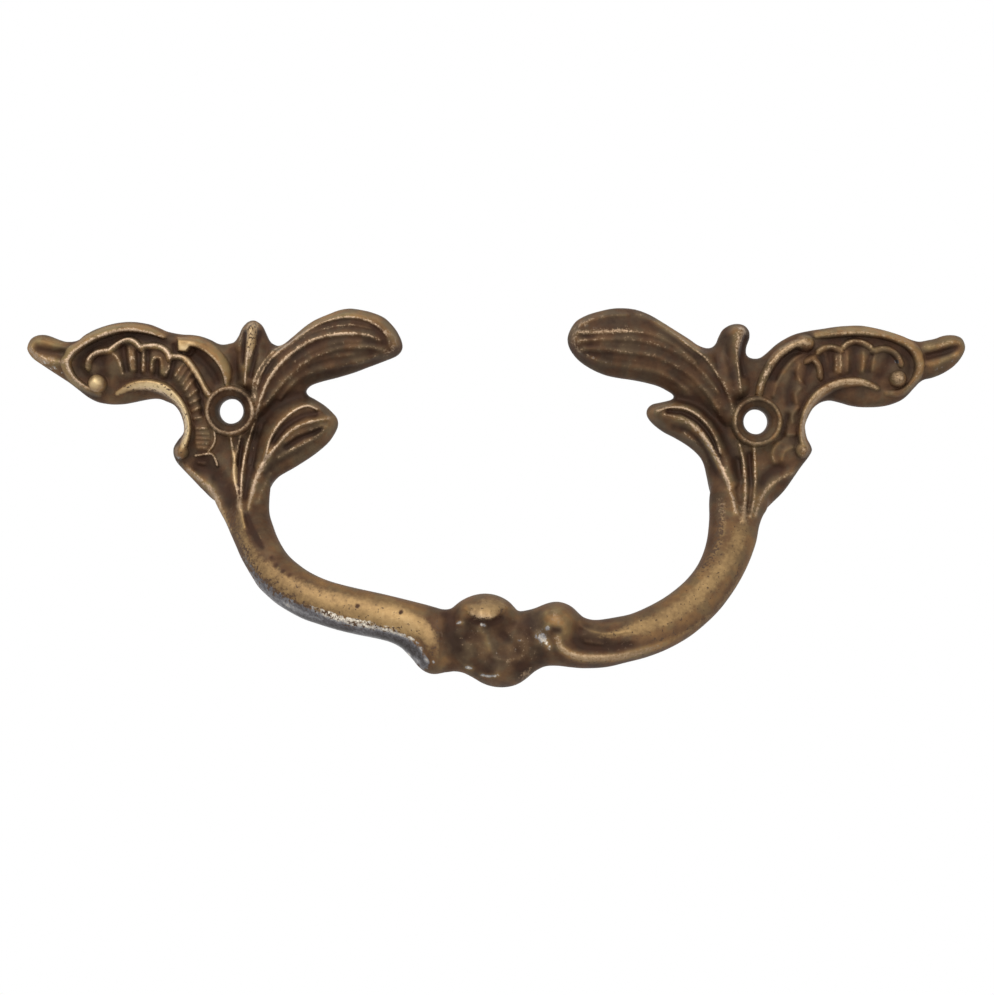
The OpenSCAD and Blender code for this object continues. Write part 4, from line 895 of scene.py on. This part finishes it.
paint(worn, [0.3, 0.5, 0.6, 0.6, 0.5], [0.26, 0.12, 0.1, 0.1, 0.16], right_seam, 2)
paint(tone, [0.4, 0.6, 0.6], [0.56, 0.5, 0.44, 0.36], right_seam, 2)
paint(worn, [0.3, 0.7, 0.8, 0.6], [0.4, 0.48, 0.48, 0.4],
    [(38.9, -18.6), (37.6, -22.2), (35.3, -25.7), (32.4, -28.8), (28.6, -31.3), (24.4, -33.2)], 2)
paint(pitted, 0.5, 0.42, right_seam, 2)
rib([0.6, 0.7, 0.7, 0.5], [0.5, 0.55, 0.45, 0.2], [0.35, 0.45, 0.45, 0.4, 0.35, 0.2],
    [(9.8, -32.1), (10.3, -33.5), (12, -34.6), (14.4, -35), (18, -34.9), (21, -34.3), (24.8, -33.2),
     (29, -31)])
rim = [(9.8, -32.3), (10.3, -33.5), (12, -34.6), (14.4, -35), (18, -34.9), (21, -34.3), (24.8, -33.2)]
paint(tone, [0.7, 0.8, 0.7, 0.5], 0.85, rim)
paint(worn, [0.5, 0.6, 0.55, 0.4], [0.5, 0.6, 0.58, 0.4], rim)
paint(pitted, 0.4, 0.5, [(11.4, -35.2), (14, -35.7), (18, -35.6), (22, -34.8), (26, -33.3)], 2)
paint(tone, 0.5, 0.3, [(9.6, -34.6), (12, -36.1), (16, -36.4), (20.6, -35.7)])
hollow([1, 1.2, 1, 0.6], [0.7, 0.7, 0.4, 0.2],
    [(12.6, -31), (12.6, -32.6), (14.4, -33.3), (17.4, -33.3), (20.4, -33)], shade=0.2)
paint(worn, [1, 0.8, 0.5], [0, 0, 0.2], [(12.6, -31.2), (13.8, -32.8), (17.4, -33.3)], 2)
channel = [(12.6, -31), (13.8, -32.5), (17.4, -33.3)]
paint(tone, [1.4, 1.3, 0.7], [0, 0, 0.3], channel, 3)
paint(yellow, 1.6, 1, channel)
paint(yellow, 0.9, 0.5, rim)
rib(0.3, 0.3, [0.2, 0.4, 0.45, 0.3], [(13.2, -30.5), (15.3, -31.3), (17.9, -31.4), (20.3, -31)])
rib(0.3, 0.2, 0.25, [(13.8, -32.7), (16.3, -33)])
rib(0.3, 0.2, 0.25, [(13, -29.9), (16, -30.3), (19.2, -29.9)])

# The boss: four knobs on a rough grey-brown middle, cast in one with the bail. The two upper ones are
# rubbed bright. Each knob has its place, and its half sizes across, forward and up.
knobs = [
    ((-0.6, 20.2, -29.3), (4.1, 4.3, 2.8)), ((9.8, 20.4, -30.1), (2.9, 4.0, 2.6)),
    ((1.9, 19.6, -36.5), (3.9, 4.4, 2.85)), ((-8, 20, -34.2), (2.4, 3.7, 3.4)),
]
# the boss is less golden than the arms
BOSS_GOLD, BOSS_MIDDLE, BOSS_REACH, BOSS_BELOW = 0.25, 2.5, 8, (24, 25)
across_boss = step(BOSS_REACH - np.abs(X - BOSS_MIDDLE), 0, 1)
bring(yellow, BOSS_GOLD, across_boss * step(-Z, *BOSS_BELOW))
paint(tone, 3.6, 0.27, [(-3, -33.4), (1, -34), (6, -33)])
paint(tone, 2.2, 0.4, [(0.6, -32.6), (3.4, -33.4)], 2)
paint(tone, 1.6, 0.08, [(-4.9, -31.6), (-4.7, -34)])
paint(tone, 1, 0.08, [(4, -30), (6.2, -30.6)], 2)
paint(tone, 1.2, 0.12, [(3.4, -36.6), (5.2, -36.2)], 2)
paint(tone, 1.2, 0.5, [(-3.6, -28.8), (-1, -26.9), (2, -27.1), (4.2, -28.8)])
bead([1.2, 2, 2, 1.2], [0.3, 0.6, 0.6, 0.3], 0,
    [(-2.8, -28.7), (-1.4, -29.2), (0.2, -29.2), (1.8, -28.5)], right=0.5)
paint(tone, 2.2, 0.8, [(-2, -27.9), (1, -27.6)], 3)
paint(yellow, 2, 0.95, [(-2, -28.2), (1, -27.9)], 3)
paint(worn, [1.1, 1.45, 1.45, 1.2], [0.66, 0.76, 0.76, 0.66],
    [(-2.1, -28.1), (-0.8, -28), (0.4, -27.8), (1.4, -27.6)], 3)
paint(worn, 0.35, [0.7, 0.95, 0.7], [(-2.6, -29), (-1.4, -29.4), (-0.2, -29.4), (0.8, -29.1)], 2)
paint(pitted, 1.3, 0.26, [(-2, -28.2), (1.6, -27.9)], 2)
paint(pitted, 0.5, 0.56, [(-3, -28.9), (-1.6, -29.6), (0.4, -29.5), (2, -28.6)], 2)
# the dark groove under the upper knob's cap: the groove is carved, its darkness is painted shade
hollow(0.5, 0.35, [(-2.2, -30), (-1, -30.3), (0.4, -30.2), (1.6, -29.6)], shade=0.12)
swell(2.6, 0.4, [(9.8, -30), (10.6, -30.4)])
paint(tone, 2.3, 0.84, [(9.6, -29.6), (11, -30.4)], 3)
paint(worn, [1.3, 1.5], [0.46, 0.44], [(9.6, -29), (11.2, -30.2)], 2)
dimple = [(9.3, -31), (9.9, -31.1)]
hollow(0.55, 0.2, dimple, shade=0.16)
paint(worn, 0.7, 0.1, dimple, 2)
paint(worn, [0.8, 0.6], 0.52, [(5, -38), (6.2, -37)], 2)
paint(silver, 3, 0.25, [(-2.4, -32.4), (1, -33.6), (5.8, -32.6)], 3)
paint(yellow, 3, -0.8, [(-2.4, -32.6), (1, -34), (5.8, -32.8)], 3)
boss_seam = [(-1.2, -31.2), (-0.3, -32.6), (0.2, -34.2)]
rib(0.6, 0.2, 0, boss_seam)
paint(tone, 0.6, 0.6, boss_seam, 2)
rib(0.35, 0.25, 0.1, [(0.6, -35.2), (2.6, -35.5), (4.4, -35.3)])
hollow(0.6, 0.2, [(1.8, -32), (3.4, -33), (4, -34.2)], shade=0.28)
hollow(0.5, 0.2, [(5, -31.2), (6, -32.4), (6.2, -34)], shade=0.28)
hollow(0.7, 0.25, [(-3, -30.2), (-3.2, -32)], shade=0.24)
hollow(0.5, 0.2, [(3.6, -36.6), (5.4, -35.8)], shade=0.22)

# painted highlights: glints, as width, brightness and line
for width, bright, line in (
    (0.34, 0.6, [(-3.2, -36.6), (-2.4, -37)]),
    (0.3, 0.56, [(-1, -37.8), (0.3, -37.9), (1.4, -37.7)]),
    (0.7, 0.44, [(7.1, -31.7), (7.8, -32.3), (8.6, -33.4)]),
    (0.34, 0.85, [(7.5, -32.1), (7.9, -32.4)]),
    (0.3, 0.8, [(8.3, -30.7), (8.5, -30.9)]),
    (0.28, 0.55, [(-1.2, -30.4), (-0.5, -30.5)]),
    (0.3, 0.5, [(-4.5, -30.4), (-4, -30.3)]),
    (0.3, 0.6, [(-17.4, -33), (-16, -33.3)]),
    (0.25, 0.6, [(-15.4, -33.4), (-14.4, -33.6)]),
    (0.3, 0.8, [(-11.6, -35.1), (-11.3, -35.4)]),
    (0.3, 0.8, [(-10.3, -35.8), (-10, -36.1)]),
    (0.25, 0.8, [(-8.9, -35.7), (-8.7, -35.9)]),
    (0.2, 0.8, [(-7.9, -35.9), (-7.7, -36.1)]),
):
    paint(silver, width, bright, line, 2)
    paint(tone, width, 0.95, line, 2)


# Under the ornament both plates have the same plain form: a floor that falls away to a rounded edge, and a
# funnel-shaped ring around each screw hole, which is drilled through and countersunk. The skin is as rough
# as cast metal is, and roughest on the boss.
HOLES = (-40, 40)
HOLE_R = 1.9
EDGE_ROUND = 1.15
EDGE_HEIGHT = 1.75
PLATE_HEIGHT = 2.35
PLATE_RUN = 2.2
RING_R = 3.4
RING_HALF_WIDTH = 0.5
RING_HEIGHT = 4.2
RING_RISE = 0.85
FUNNEL_FOOT = 2.9
FUNNEL_SLOPE = 0.75
FAR_OUTSIDE = -9.0
EDGE_REACH = 3
RELIEF_FADE = (0.1, 1.2)

edge_distance = np.full(X.shape, FAR_OUTSIDE)
for outline in (left_outline, right_outline):
    line = smooth(outline, closed=True)
    part = window(line, EDGE_REACH)
    distance = nearest(line, part)[0]
    signed = np.where(inside(line, part), distance, -distance)
    edge_distance[part] = np.maximum(edge_distance[part], signed)

fall = (1 - (edge_distance / PLATE_RUN).clip(0, 1)) ** 2
plain_floor = PLATE_HEIGHT + (EDGE_HEIGHT - PLATE_HEIGHT) * fall


def blurred(field, radius):
    """A field softened over a radius in millimetres."""
    reach = int(3 * radius / PITCH)
    weights = np.exp(-((np.arange(-reach, reach + 1) * PITCH / radius) ** 2) / 2)
    weights /= weights.sum()
    for axis in (0, 1):
        field = np.apply_along_axis(lambda row: np.convolve(row, weights, "same"), axis, field)
    return field


SEED = 7
ROUGH_MIDDLE, ROUGH_REACH, ROUGH_TOP = 1, 8, -28
dice = np.random.default_rng(SEED)
on_boss = (np.abs(X - ROUGH_MIDDLE) < ROUGH_REACH) & (Z < ROUGH_TOP)


def rough_skin(radius, boss_height, height):
    """Chance lumps of a radius, with one mean height on the boss and another elsewhere."""
    field = blurred(dice.normal(size=X.shape), radius)
    return field * (np.where(on_boss, boss_height, height) / field.std())


lumps = rough_skin(0.9, 0.08, 0.03)
tone += rough_skin(0.6, 0.1, 0.05)
lumps += rough_skin(0.26, 0.035, 0.006)
relief = beads + folds + lumps
plate_front = plain_floor + relief * step(edge_distance, *RELIEF_FADE)

from_hole = np.minimum(*[np.hypot(X - x, Z) for x in HOLES])
crest = (1 - ((from_hole - RING_R) / RING_HALF_WIDTH) ** 2).clip(0) ** BEAD_ROUND
funnel = FUNNEL_FOOT + FUNNEL_SLOPE * (from_hole - HOLE_R)
ring_front = np.maximum(RING_HEIGHT - RING_RISE + RING_RISE * crest, np.where(from_hole < RING_R, funnel, 0))
ring_front = np.where(from_hole < RING_R - RING_HALF_WIDTH, funnel, ring_front)
plate_front = np.where(from_hole < RING_R + RING_HALF_WIDTH, ring_front, plate_front)
cut = (EDGE_ROUND - edge_distance.clip(0, EDGE_ROUND)) ** 2
plate_front -= EDGE_ROUND - np.sqrt((EDGE_ROUND**2 - cut).clip(0))

# the ring's rim is rubbed, more on the left plate, and its funnel is dark
RIM_WEAR_WIDTH = 0.36
RIM_WEAR_LEFT, RIM_WEAR_RIGHT = 0.7, 0.46
RIM_TONE = 0.75
FUNNEL_TONE_LEFT, FUNNEL_TONE_RIGHT = 0.3, 0.38
FUNNEL_FADE = 0.1, 0.4
CLEAR_OF_RING = RING_R + 0.25, RING_R + 0.6
on_rim = np.exp(-(((from_hole - RING_R) / RIM_WEAR_WIDTH) ** 2))
in_funnel = step(RING_R - from_hole, *FUNNEL_FADE)
worn *= step(from_hole, *CLEAR_OF_RING)
worn = np.maximum(worn, np.where(X < 0, RIM_WEAR_LEFT, RIM_WEAR_RIGHT) * on_rim)
bring(tone, RIM_TONE, on_rim)
bring(tone, np.where(X < 0, FUNNEL_TONE_LEFT, FUNNEL_TONE_RIGHT), in_funnel)
silver *= 1 - in_funnel


# The casting: metal where a column lies inside a plate, the bar or a knob, less the two screw holes. It is
# cut into small cells from the back forward, and its skin becomes the mesh.
import openvdb

DEPTH_LOW, DEPTH_HIGH = -0.6, 25.5
PLATES_TOP = 7
STEEPEST = 4
SEAT_R = 2.7
SEAT_LOW, SEAT_HIGH = 2.1, 4.3
SEAT_END = 1.2
BAR_FILLET, KNOB_FILLET = 0.9, 0.8
BAND = 0.6
TRIANGLES = 195000


def nearly_least(a, b, blend):
    """The lesser of two values, with the corner between them filled as a casting's is."""
    h = (blend - np.abs(a - b)).clip(0) / blend
    return np.minimum(a, b) - h * h * blend / 4


slope = np.gradient(plate_front, PITCH)
steepness = np.sqrt(1 + slope[0] ** 2 + slope[1] ** 2).clip(1, STEEPEST)
bail_front_thick = bail_thick + relief[bail_part]
layers = []
for depth in np.arange(DEPTH_LOW, DEPTH_HIGH, PITCH):
    metal = np.full(X.shape, BAND)
    if depth < PLATES_TOP:
        metal = np.minimum(metal, np.maximum((depth - plate_front) / steepness, -edge_distance))
    away = depth - bail_depth
    thick = np.where(away > 0, bail_front_thick, bail_thick)
    bar = (np.hypot(bail_share, away / thick) - 1) * np.minimum(bail_half, thick)
    metal[bail_part] = nearly_least(metal[bail_part], bar, BAR_FILLET)
    for (x, knob_depth, z), (across, forward, up) in knobs:
        reach = forward + (relief if depth > knob_depth else 0)
        share = np.sqrt(((X - x) / across) ** 2 + ((Z - z) / up) ** 2 + ((depth - knob_depth) / reach) ** 2)
        metal = nearly_least(metal, (share - 1) * min(across, forward, up), KNOB_FILLET)
    widening = min(max((depth - SEAT_LOW) / (SEAT_HIGH - SEAT_LOW), 0), SEAT_END)
    hole = HOLE_R + (SEAT_R - HOLE_R) * widening
    metal = np.maximum(np.maximum(metal, hole - from_hole), -depth)
    layers.append(metal.clip(-BAND, BAND).astype(np.float32))

cells = openvdb.FloatGrid(BAND)
cells.copyFromArray(np.ascontiguousarray(np.stack(layers, axis=2)), tolerance=1e-4)
corners, _, faces = cells.convertToPolygons(isovalue=0.0, adaptivity=0.0)
corners = corners * PITCH + (WEST, SOUTH, DEPTH_LOW)

skin = bpy.data.meshes.new("skin")
skin.vertices.add(len(corners))
skin.vertices.foreach_set("co", (corners[:, [0, 2, 1]] * (MM, -MM, MM)).ravel())
skin.loops.add(faces.size)
skin.loops.foreach_set("vertex_index", faces.ravel())
skin.polygons.add(len(faces))
skin.polygons.foreach_set("loop_start", np.arange(0, faces.size, 4))
skin.update(calc_edges=True)
casting = bpy.data.objects.new("cast_brass", skin)
scene.collection.objects.link(casting)
thinned = casting.modifiers.new("thin", "DECIMATE")
thinned.ratio = TRIANGLES / (2 * len(faces))
skin = bpy.data.meshes.new_from_object(casting.evaluated_get(bpy.context.evaluated_depsgraph_get()))
casting.modifiers.clear()
casting.data = skin
skin.name = "cast_brass"
skin.polygons.foreach_set("use_smooth", np.ones(len(skin.polygons), bool))


# The brass: cast, aged to a dark brown patina, and worn golden where hands and cloths reach it. Silvery
# reflections and glints are painted into its colour, and the boss has grey flecks. What the columns have is
# carried on the mesh's corners, and the back is plain patina.
def at_corners(field, x, z):
    """Values of a lattice field at the mesh's corners."""
    i = ((x - WEST) / PITCH).clip(0, X.shape[0] - 2)
    j = ((z - SOUTH) / PITCH).clip(0, X.shape[1] - 2)
    i0, j0 = i.astype(int), j.astype(int)
    u, v = i - i0, j - j0
    near = field[i0, j0] * (1 - v) + field[i0, j0 + 1] * v
    far = field[i0 + 1, j0] * (1 - v) + field[i0 + 1, j0 + 1] * v
    return near * (1 - u) + far * u


RAISED_WITHIN = 0.8
RAISED_BY = 0.3
BACK_TONE = 0.4
FACING_FRONT = -0.1, 0.3

place = np.empty(len(skin.vertices) * 3)
skin.vertices.foreach_get("co", place)
x, _, z = (place.reshape(-1, 3) / MM).T
normal = np.empty(len(skin.vertices) * 3)
skin.vertices.foreach_get("normal", normal)
front = step(-normal.reshape(-1, 3)[:, 1], *FACING_FRONT)

fields = {
    "worn": worn,
    "tone": tone,
    "silver": silver,
    "yellow": yellow,
    "pitted": pitted,
    "raised": ((relief - blurred(relief, RAISED_WITHIN)) / RAISED_BY).clip(-1, 1),
}
for name, field in fields.items():
    behind = BACK_TONE if name == "tone" else 0
    values = at_corners(field, x, z) * front + behind * (1 - front)
    skin.attributes.new(name, "FLOAT", "POINT").data.foreach_set("value", values.astype(np.float32))

brass = bpy.data.materials.new("aged_brass")
brass.use_nodes = True
brass.node_tree.nodes.clear()
blank = Wire(brass.node_tree)
here = blank.node("ShaderNodeTexCoord", out="Object")


def grain(size, detail=3, roughness=0.55):
    """Noise with features of a size in millimetres, around 0."""
    sockets = {"Vector": here, "Scale": 1 / (size * MM), "Detail": detail, "Roughness": roughness}
    return blank.node("ShaderNodeTexNoise", sockets=sockets, out=0) - 0.5


def ramp(wire, *stops):
    """A colour that follows a wire through a few stops."""
    return wire.node("ShaderNodeValToRGB", {"stops": stops}, {"Fac": wire})


wear, shade, reflection_and_silver, gilt, pitting, raised = (
    blank.node("ShaderNodeAttribute", {"attribute_name": name}, out="Fac") for name in fields
)
clouds = grain(7)
mottle = grain(1.4)
flecks = grain(0.6, 3, 0.6)
specks = grain(0.25, 3)

# where the pits, the tints, the rubbed places and those of silver and painted reflection begin and are full
PIT_EDGE, TINT_EDGE, RUBBED_EDGE, REFLECTION_AND_SILVER_EDGE = (0.58, 0.76), (-0.12, 0.12), (0.34, 0.64), (0.36, 0.52)
PIT_BROWN = (0.090, 0.053, 0.031, 1)
WARM_TINT, GREY_TINT = (1.12, 0.95, 0.84, 1), (0.95, 1, 1.02, 1)
pits = (pitting + grain(0.45, 2) * 2.6).between(*PIT_EDGE)
# the patina follows the raised field: darker in recesses, partly the patina held there and partly painted
# shade, and lighter on ridges
patina = ramp(
    shade + raised * 0.28 + clouds * 0.45 + mottle * 0.5 + flecks * 0.25,
    (0.0, (0.036, 0.018, 0.010)), (0.3, (0.072, 0.042, 0.023)), (0.6, (0.122, 0.077, 0.041)),
    (0.85, (0.186, 0.120, 0.055)), (1.0, (0.258, 0.170, 0.076)),
)
tints = grain(2.4, 2).between(*TINT_EDGE)
patina = patina.tinted((tints + 0.1 - gilt * 0.4).mix(WARM_TINT, GREY_TINT))
gold = ramp(
    wear * 0.5 + raised * 0.1 + mottle * 0.25 + clouds * 0.2 + flecks * 0.25,
    (0.12, (0.120, 0.074, 0.036)), (0.28, (0.225, 0.142, 0.066)), (0.4, (0.330, 0.214, 0.096)),
    (0.52, (0.430, 0.295, 0.145)), (0.7, (0.640, 0.485, 0.265)),
)
cream = ramp(
    wear * 0.4 + raised * 0.24 + mottle * 0.3 + clouds * 0.2 + flecks * 0.4 + specks * 0.8,
    (0.1, (0.175, 0.114, 0.069)), (0.38, (0.320, 0.222, 0.140)), (0.6, (0.515, 0.380, 0.262)),
    (0.85, (0.715, 0.590, 0.472)),
)
# painted reflections and glints, and the boss's grey flecks: dark grey to cream white as the tone goes
reflection_and_silver_colour = ramp(
    shade * 0.8 + flecks * 0.6 + specks * 0.5,
    (0.1, (0.045, 0.038, 0.036)), (0.35, (0.110, 0.102, 0.106)), (0.6, (0.240, 0.234, 0.240)),
    (0.8, (0.550, 0.490, 0.410)), (0.95, (1.000, 0.900, 0.740)),
)
chance = (flecks * 1.2 + specks * 1.3 + mottle * 0.6) * (1 - gilt * 0.7)
rubbed = (wear + chance + raised * 0.12).between(*RUBBED_EDGE)
reflection_and_silver_mask = (reflection_and_silver + mottle * 0.2 + flecks * 0.9).between(*REFLECTION_AND_SILVER_EDGE)
colour = reflection_and_silver_mask.mix(rubbed.mix(patina, gilt.mix(cream, gold)), reflection_and_silver_colour)
colour = pits.mix(colour, PIT_BROWN)

PATINA_DULLNESS = 0.6
PATINA_METALLIC, BARE_MORE_METALLIC = 0.3, 0.45
SHEEN = 0.2
BUMP_STRENGTH, BUMP_HEIGHT = 0.4, 0.12 * MM
dull = PATINA_DULLNESS + mottle * 0.15 - rubbed * 0.06 - reflection_and_silver_mask * 0.25
metallic = PATINA_METALLIC + rubbed.most(reflection_and_silver_mask) * (1 - pits) * BARE_MORE_METALLIC
rough = flecks * 0.5 + specks * 0.3 + mottle * 0.5
bumpy = {"Height": rough, "Strength": BUMP_STRENGTH, "Distance": BUMP_HEIGHT}
bump = blank.node("ShaderNodeBump", sockets=bumpy)
finish = {
    "Base Color": colour,
    "Roughness": dull,
    "Metallic": metallic,
    "Specular IOR Level": SHEEN,
    "Normal": bump,
}
surface = blank.node("ShaderNodeBsdfPrincipled", sockets=finish)
surface.node("ShaderNodeOutputMaterial", sockets={"Surface": surface})
skin.materials.clear()
skin.materials.append(brass)

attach(casting, "root")
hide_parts("cast_pull")
